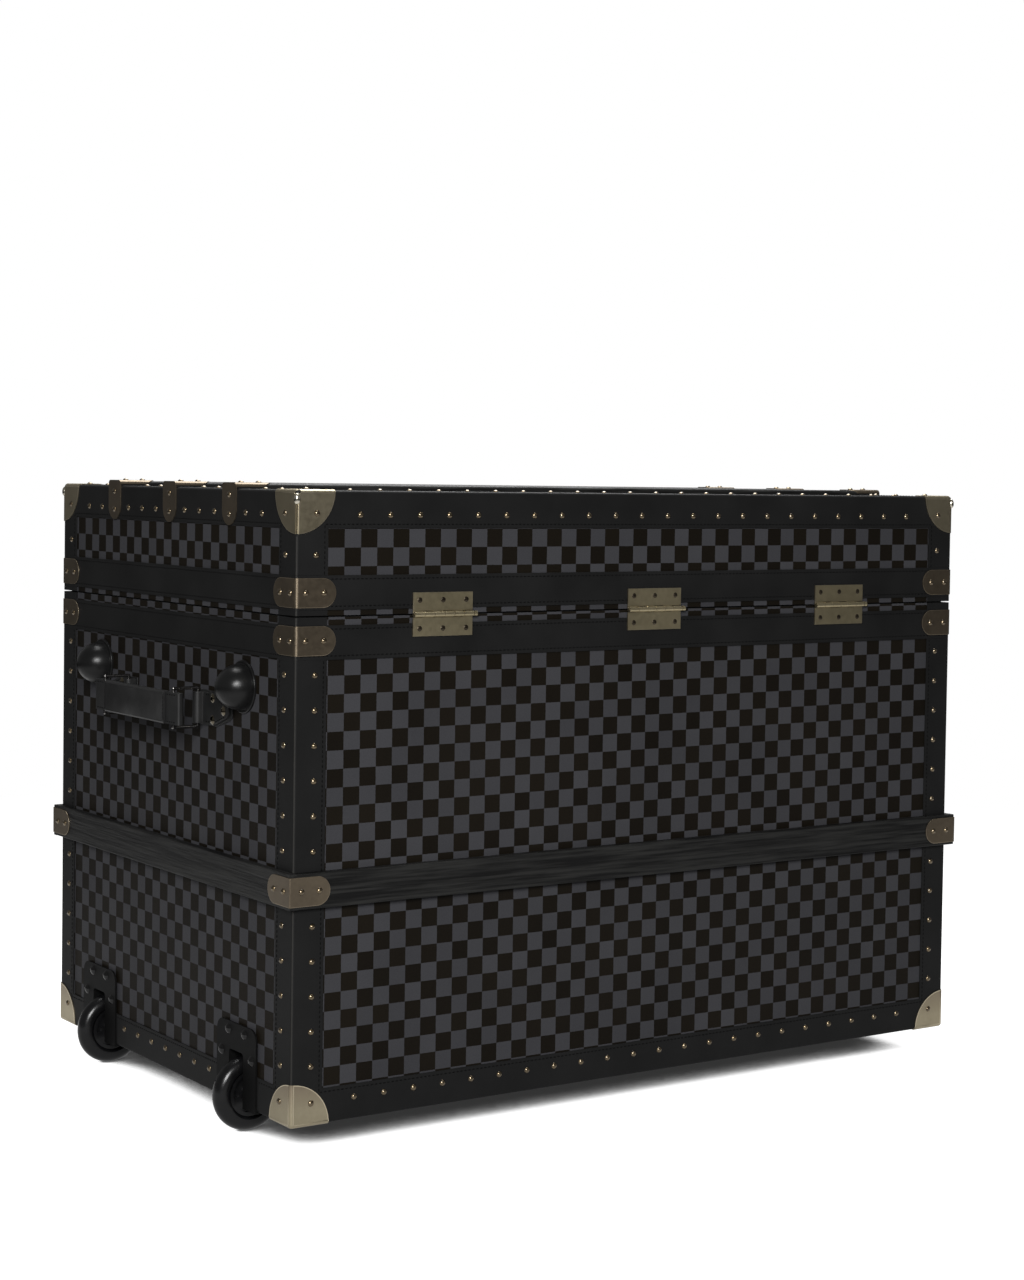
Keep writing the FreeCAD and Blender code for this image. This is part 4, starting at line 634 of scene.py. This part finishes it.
# Hinges: three brass butt hinges, each of two leaves on a pin of the same brass. The edges of
# the leaves carry a painted highlight, and slotted screws hold them.
leaf_edge = 0.0004
hinge_brass = worn_metal("hinge_brass", tone(164, 153, 124), tone(186, 174, 143), roughness=0.34)
screw_brass = worn_metal("screw_brass", tone(58, 52, 44), tone(84, 76, 64), roughness=0.3)
for node, body in (("hinge_leaves_body", "trunk_body"), ("hinge_leaves_lid", "lid")):
    leaves = rounded_copy(node + "_cast", node, leaf_edge, finishes=(hinge_brass, edge_highlight_brass))
    hang(leaves, body)
wear(hinge_brass, "hinge_pins")
wear(screw_brass, "body_screws", "lid_screws")

# Feet: moulded black rubber domes on the wheel end, on which the trunk stands upright, and two
# flat-soled feet under its plain end. Each has a moulded stud that sits in the board.
foot_rubber, wire = new_finish("foot_rubber")
point = place_on(wire)
bloom = noise(wire, point, 35.0, 4.0)
coat(
    wire,
    Base_Color=ramp(wire, bloom, (0.3, tone(15, 15, 15)), (0.7, tone(22, 22, 22))),
    Roughness=0.25 + bloom * 0.08,
    Specular_IOR_Level=0.22,
    Normal=bumped(wire, noise(wire, point, 700.0, 2.0), 0.06, 0.0002),
)
wear(foot_rubber, "rubber_feet")

# Wheels: black tyres pressed on moulded hubs, each in a steel housing let into the bottom edge.
# The housing is held by four button-head bolts, and the axle is plain steel.


def black_finish(name, grain, tones, roughness, specular, bump):
    """Black stuff whose fine grain, of a scale and a detail, changes its tone, gloss and surface."""
    finish, wire = new_finish(name)
    specks = noise(wire, place_on(wire), *grain)
    dark, light = tones
    smoothest, rougher = roughness
    coat(
        wire,
        Base_Color=ramp(wire, specks, (0.3, tone(*dark)), (0.7, tone(*light))),
        Roughness=smoothest + specks * rougher,
        Specular_IOR_Level=specular,
        Normal=bumped(wire, specks, *bump),
    )
    return finish


tyre_rubber = black_finish(
    "tyre_rubber",
    grain=(120.0, 5.0),
    tones=((10, 10, 11), (15, 15, 16)),
    roughness=(0.22, 0.06),
    specular=0.32,
    bump=(0.02, 0.0001),
)
hub_plastic = black_finish(
    "hub_plastic",
    grain=(300.0, 3.0),
    tones=((13, 13, 14), (19, 19, 20)),
    roughness=(0.26, 0.1),
    specular=0.3,
    bump=(0.05, 0.0002),
)
housing_paint = black_finish(
    "housing_paint",
    grain=(420.0, 3.0),
    tones=((12, 12, 12), (17, 17, 17)),
    roughness=(0.5, 0.1),
    specular=0.06,
    bump=(0.08, 0.0003),
)
blacked_steel = black_finish(
    "blacked_steel",
    grain=(600.0, 3.0),
    tones=((9, 9, 9), (15, 15, 15)),
    roughness=(0.1, 0.06),
    specular=0.4,
    bump=(0.05, 0.0001),
)
bright_steel = worn_metal("bright_steel", tone(150, 148, 144), tone(184, 182, 178), roughness=0.18)
for end in ("back", "front"):
    wear(tyre_rubber, "wheel_tyre_" + end)
    wear(hub_plastic, "wheel_hub_" + end)
wear(housing_paint, "wheel_housings")
wear(blacked_steel, "housing_bolts")
wear(bright_steel, "wheel_axles")

# Handles: a flat leather grip at each end, its straps folded round two thick wire rings. The
# rings turn in leather tabs, riveted through a backing plate.
handle_level = 0.4396
handle_spacing = 0.087
grip_face = 0.4925
grip_edge = 0.001
strap_face = 0.49
tab_face = 0.4535
groove_depth = 0.0008
groove_steps = ((0.0004, 0), (0.0003, -groove_depth), (0.0014, 0), (0.0003, groove_depth))
fine_pitch = 0.0042
long_reach, long_rise = 0.0715, 0.0131
short_reach, short_rise = 0.0725, 0.0125
strap_reaches = (0.078, 0.1)
strap_rise = 0.0145
tab_lines = (((0.011, 0.0145), (0.021, 0.0145)), ((0.034, 0.0132), (0.0555, 0.006)))

rivet_brass = worn_metal("rivet_brass", tone(82, 75, 60), tone(110, 101, 82), roughness=0.08, lacquer=0.6)
wear(rivet_brass, "handle_rivets")
dark_steel = worn_metal("dark_steel", tone(112, 110, 108), tone(136, 134, 132), roughness=0.14)
handle_leather, wire = new_finish("handle_leather")
point = place_on(wire)
creases = noise(wire, point, 60.0, 5.0)
pores = hide_pores(wire, point, 1300.0)
coat(
    wire,
    Base_Color=ramp(wire, creases, (0.3, tone(20, 20, 20)), (0.7, tone(30, 30, 30))),
    Roughness=0.4 + creases * 0.14,
    Specular_IOR_Level=0.35,
    Normal=bumped(wire, pores * 0.5 + creases * 0.4, 0.2, 0.0004),
)
tab_runs = []
for end, side in (("wheel_end", 1), ("plain_end", -1)):
    wear(dark_steel, "ring_" + end + "_back", "ring_" + end + "_front")
    grip = rounded_copy("grip_" + end + "_sewn", "grip_" + end, grip_edge, rings=3)
    deselect_mesh(grip)
    for face in grip.data.polygons:
        looks_out = face.normal.x * side > square_cosine
        face.select = looks_out and face.center.x * side > grip_face - tolerance
    bpy.context.tool_settings.mesh_select_mode = (False, False, True)
    bpy.ops.object.mode_set(mode="EDIT")
    for width, depth in groove_steps:
        bpy.ops.mesh.inset(thickness=width, depth=depth)
    bpy.ops.object.mode_set(mode="OBJECT")
    dress(grip, handle_leather, "grip_" + end)

    runs = []
    out = (side, 0, 0)
    groove = side * (grip_face - groove_depth + proud)
    strap = side * (strap_face + proud)
    tab = side * (tab_face + proud)
    for edge in (-1, 1):
        line = handle_level + edge * long_rise
        runs.append(seam((groove, -long_reach, line), (groove, long_reach, line), out, fine_pitch))
        turn = edge * short_reach
        low = handle_level - short_rise
        high = handle_level + short_rise
        runs.append(seam((groove, turn, low), (groove, turn, high), out, fine_pitch))
        for hand in (-1, 1):
            line = handle_level + edge * strap_rise
            start, stop = ((strap, hand * reach, line) for reach in strap_reaches)
            runs.append(seam(start, stop, out))
            root = hand * handle_spacing
            for points in tab_lines:
                start, stop = (
                    (tab, root + hand * reach, handle_level + edge * rise) for reach, rise in points
                )
                tab_runs.append(seam(start, stop, out))
    joined("seams_of_grip_" + end, runs, thread, "grip_" + end)
joined("seams_of_tabs", tab_runs, thread, "trunk_body")
for node, rounding in (("handle_tabs", 0.0008), ("handle_backings", 0.0006)):
    cut = rounded_copy(node + "_cut", node, rounding)
    dress(cut, handle_leather, "trunk_body")

# Locks: three brass hasps, each with its plate on the lid and its case on the body. The outer
# two are slid shut with a thumb knob, and the middle one is shut by a steel bolt and a key.
lock_brass = worn_metal("lock_brass", tone(128, 119, 96), tone(146, 137, 112), roughness=0.26)
for place in ("left", "middle", "right"):
    wear(lock_brass, "hasp_" + place)
wear(lock_brass, "latch_cases", "hasp_plates", "thumb_bolt_left", "thumb_bolt_right", "key_cylinder")
wear(bright_steel, "lock_bolt")

# Drawers: a cabinet of three drawers in thin board, covered in the lining's cloth, each with a
# leather pull that is sewn along both edges.
pull_edge = 0.0011
pull_line = 0.0052
pull_reach = 0.0275
wear(lining, "drawer_cabinet", "drawer_upper", "drawer_centre", "drawer_lower")
for place in ("upper", "centre", "lower"):
    node = "drawer_pull_" + place
    pull = rounded_copy(node + "_sewn", node, pull_edge, rings=3)
    middle = sum(corner[0] for corner in pull.bound_box) / 8
    top = max(corner[2] for corner in pull.bound_box)
    runs = []
    for side in (-1, 1):
        line = middle + side * pull_line
        start = (line, -pull_reach, top)
        stop = (line, pull_reach, top)
        runs.append(seam(start, stop, (0, 0, 1), fine_pitch))
    dress(pull, handle_leather, "drawer_" + place)
    joined("seams_of_pull_" + place, runs, thread, "drawer_" + place)
bpy.data.objects.remove(stitch)

# Rail: a brass tube for clothes hangers, held at its ends in turned sockets.
# Rail and sockets are of the same brass as the locks.
wear(lock_brass, "hanging_rail", "rail_sockets")

# Studio: a pale floor that shows white to the camera and in glossy metal, and keeps the shadow
# under the trunk. Three soft lamps light it from beside the camera, from above and from behind.
floor_radius = 14
shadow_reach = 0.1
lit_until, white_from = 1.2, 2.4


def kinds_of_ray(wire):
    """Three wires that are 1 on a ray to the camera, on one in a gloss and on one through glass."""
    kinds = ("Is Camera Ray", "Is Glossy Ray", "Is Transmission Ray")
    return [wire.node("LightPath", {}, {}, kind) for kind in kinds]


bpy.ops.object.select_all(action="DESELECT")
bpy.ops.mesh.primitive_circle_add(
    vertices=96, radius=floor_radius, fill_type="NGON", location=(0, 0, 0)
)
floor = bpy.context.object
floor.name = "studio_floor"
floor_paint, wire = new_finish("studio_floor")
direct, glossy, through = kinds_of_ray(wire)
seen = direct + through
distance = wire.node("VectorMath", {"operation": "LENGTH"}, {0: place_on(wire)}, "Value")
far = step(wire, distance, lit_until, white_from)
lit = wire.node("BsdfDiffuse", {}, {"Color": (0.3, 0.3, 0.3, 1)})
glow = wire.node("Emission", {}, {"Color": (1, 1, 1, 1), "Strength": 1.0})
dark = wire.node("Emission", {}, {"Color": (0, 0, 0, 1), "Strength": 0.0})
open_air = wire.node("AmbientOcclusion", {"samples": 32}, {"Distance": shadow_reach}, "AO")
shade = step(wire, open_air, 0.14, 0.21)
shine = seen * (shade * 0.94 + 0.03) + glossy * 0.4
lifted = wire.node("MixShader", {}, {0: shine, 1: dark, 2: glow})
near_floor = wire.node("AddShader", {}, {0: lit, 1: lifted})
distant = wire.node("MixShader", {}, {0: seen, 1: dark, 2: glow})
whole_floor = wire.node("MixShader", {}, {0: far, 1: near_floor, 2: distant})
wire.node("OutputMaterial", {}, {"Surface": whole_floor})
floor.data.materials.append(floor_paint)

world = bpy.data.worlds.new("studio")
bpy.context.scene.world = world
world.use_nodes = True
world.node_tree.nodes.clear()
wire = Wire(world.node_tree)
direct, glossy, through = kinds_of_ray(wire)
seen = direct + glossy * 0.02 + through
dim = wire.node("Background", {}, {"Color": (1, 1, 1, 1), "Strength": 0.16})
white = wire.node("Background", {}, {"Color": (1, 1, 1, 1), "Strength": 1.0})
wire.node("OutputWorld", {}, {"Surface": wire.node("MixShader", {}, {0: seen, 1: dim, 2: white})})

for name, place, target, size, power in (
    ("key_light", (2.3, 3.0, 1.75), (0.1, 0.1, 0.35), 1.2, 145),
    ("top_light", (-0.4, -0.6, 3.2), (0, 0, 0.4), 2.2, 110),
    ("far_light", (-1.6, -2.0, 2.9), (0, 0, 0.35), 1.6, 45),
):
    lamp = bpy.data.lights.new(name, "AREA")
    lamp.shape = "SQUARE"
    lamp.size = size
    lamp.energy = power
    light = bpy.data.objects.new(name, lamp)
    bpy.context.scene.collection.objects.link(light)
    aim = (Vector(target) - Vector(place)).to_track_quat("-Z", "Y")
    light.matrix_world = Matrix.Translation(place) @ aim.to_matrix().to_4x4()

camera_place = (1.61161, 2.41011, 0.69071)
heading = math.radians(145.741)
tilt = math.radians(87.772)
roll = math.radians(0.819)
camera = bpy.data.objects.new("camera", bpy.data.cameras.new("camera"))
bpy.context.scene.collection.objects.link(camera)
camera.data.lens = 67.66
camera.data.shift_x = -0.01387
camera.data.shift_y = -0.05408
camera.data.clip_end = 60
camera.matrix_world = (
    Matrix.Translation(camera_place)
    @ Matrix.Rotation(heading, 4, "Z")
    @ Matrix.Rotation(tilt, 4, "X")
    @ Matrix.Rotation(roll, 4, "Z")
)
bpy.context.scene.camera = camera
bpy.context.scene.view_settings.view_transform = "Standard"
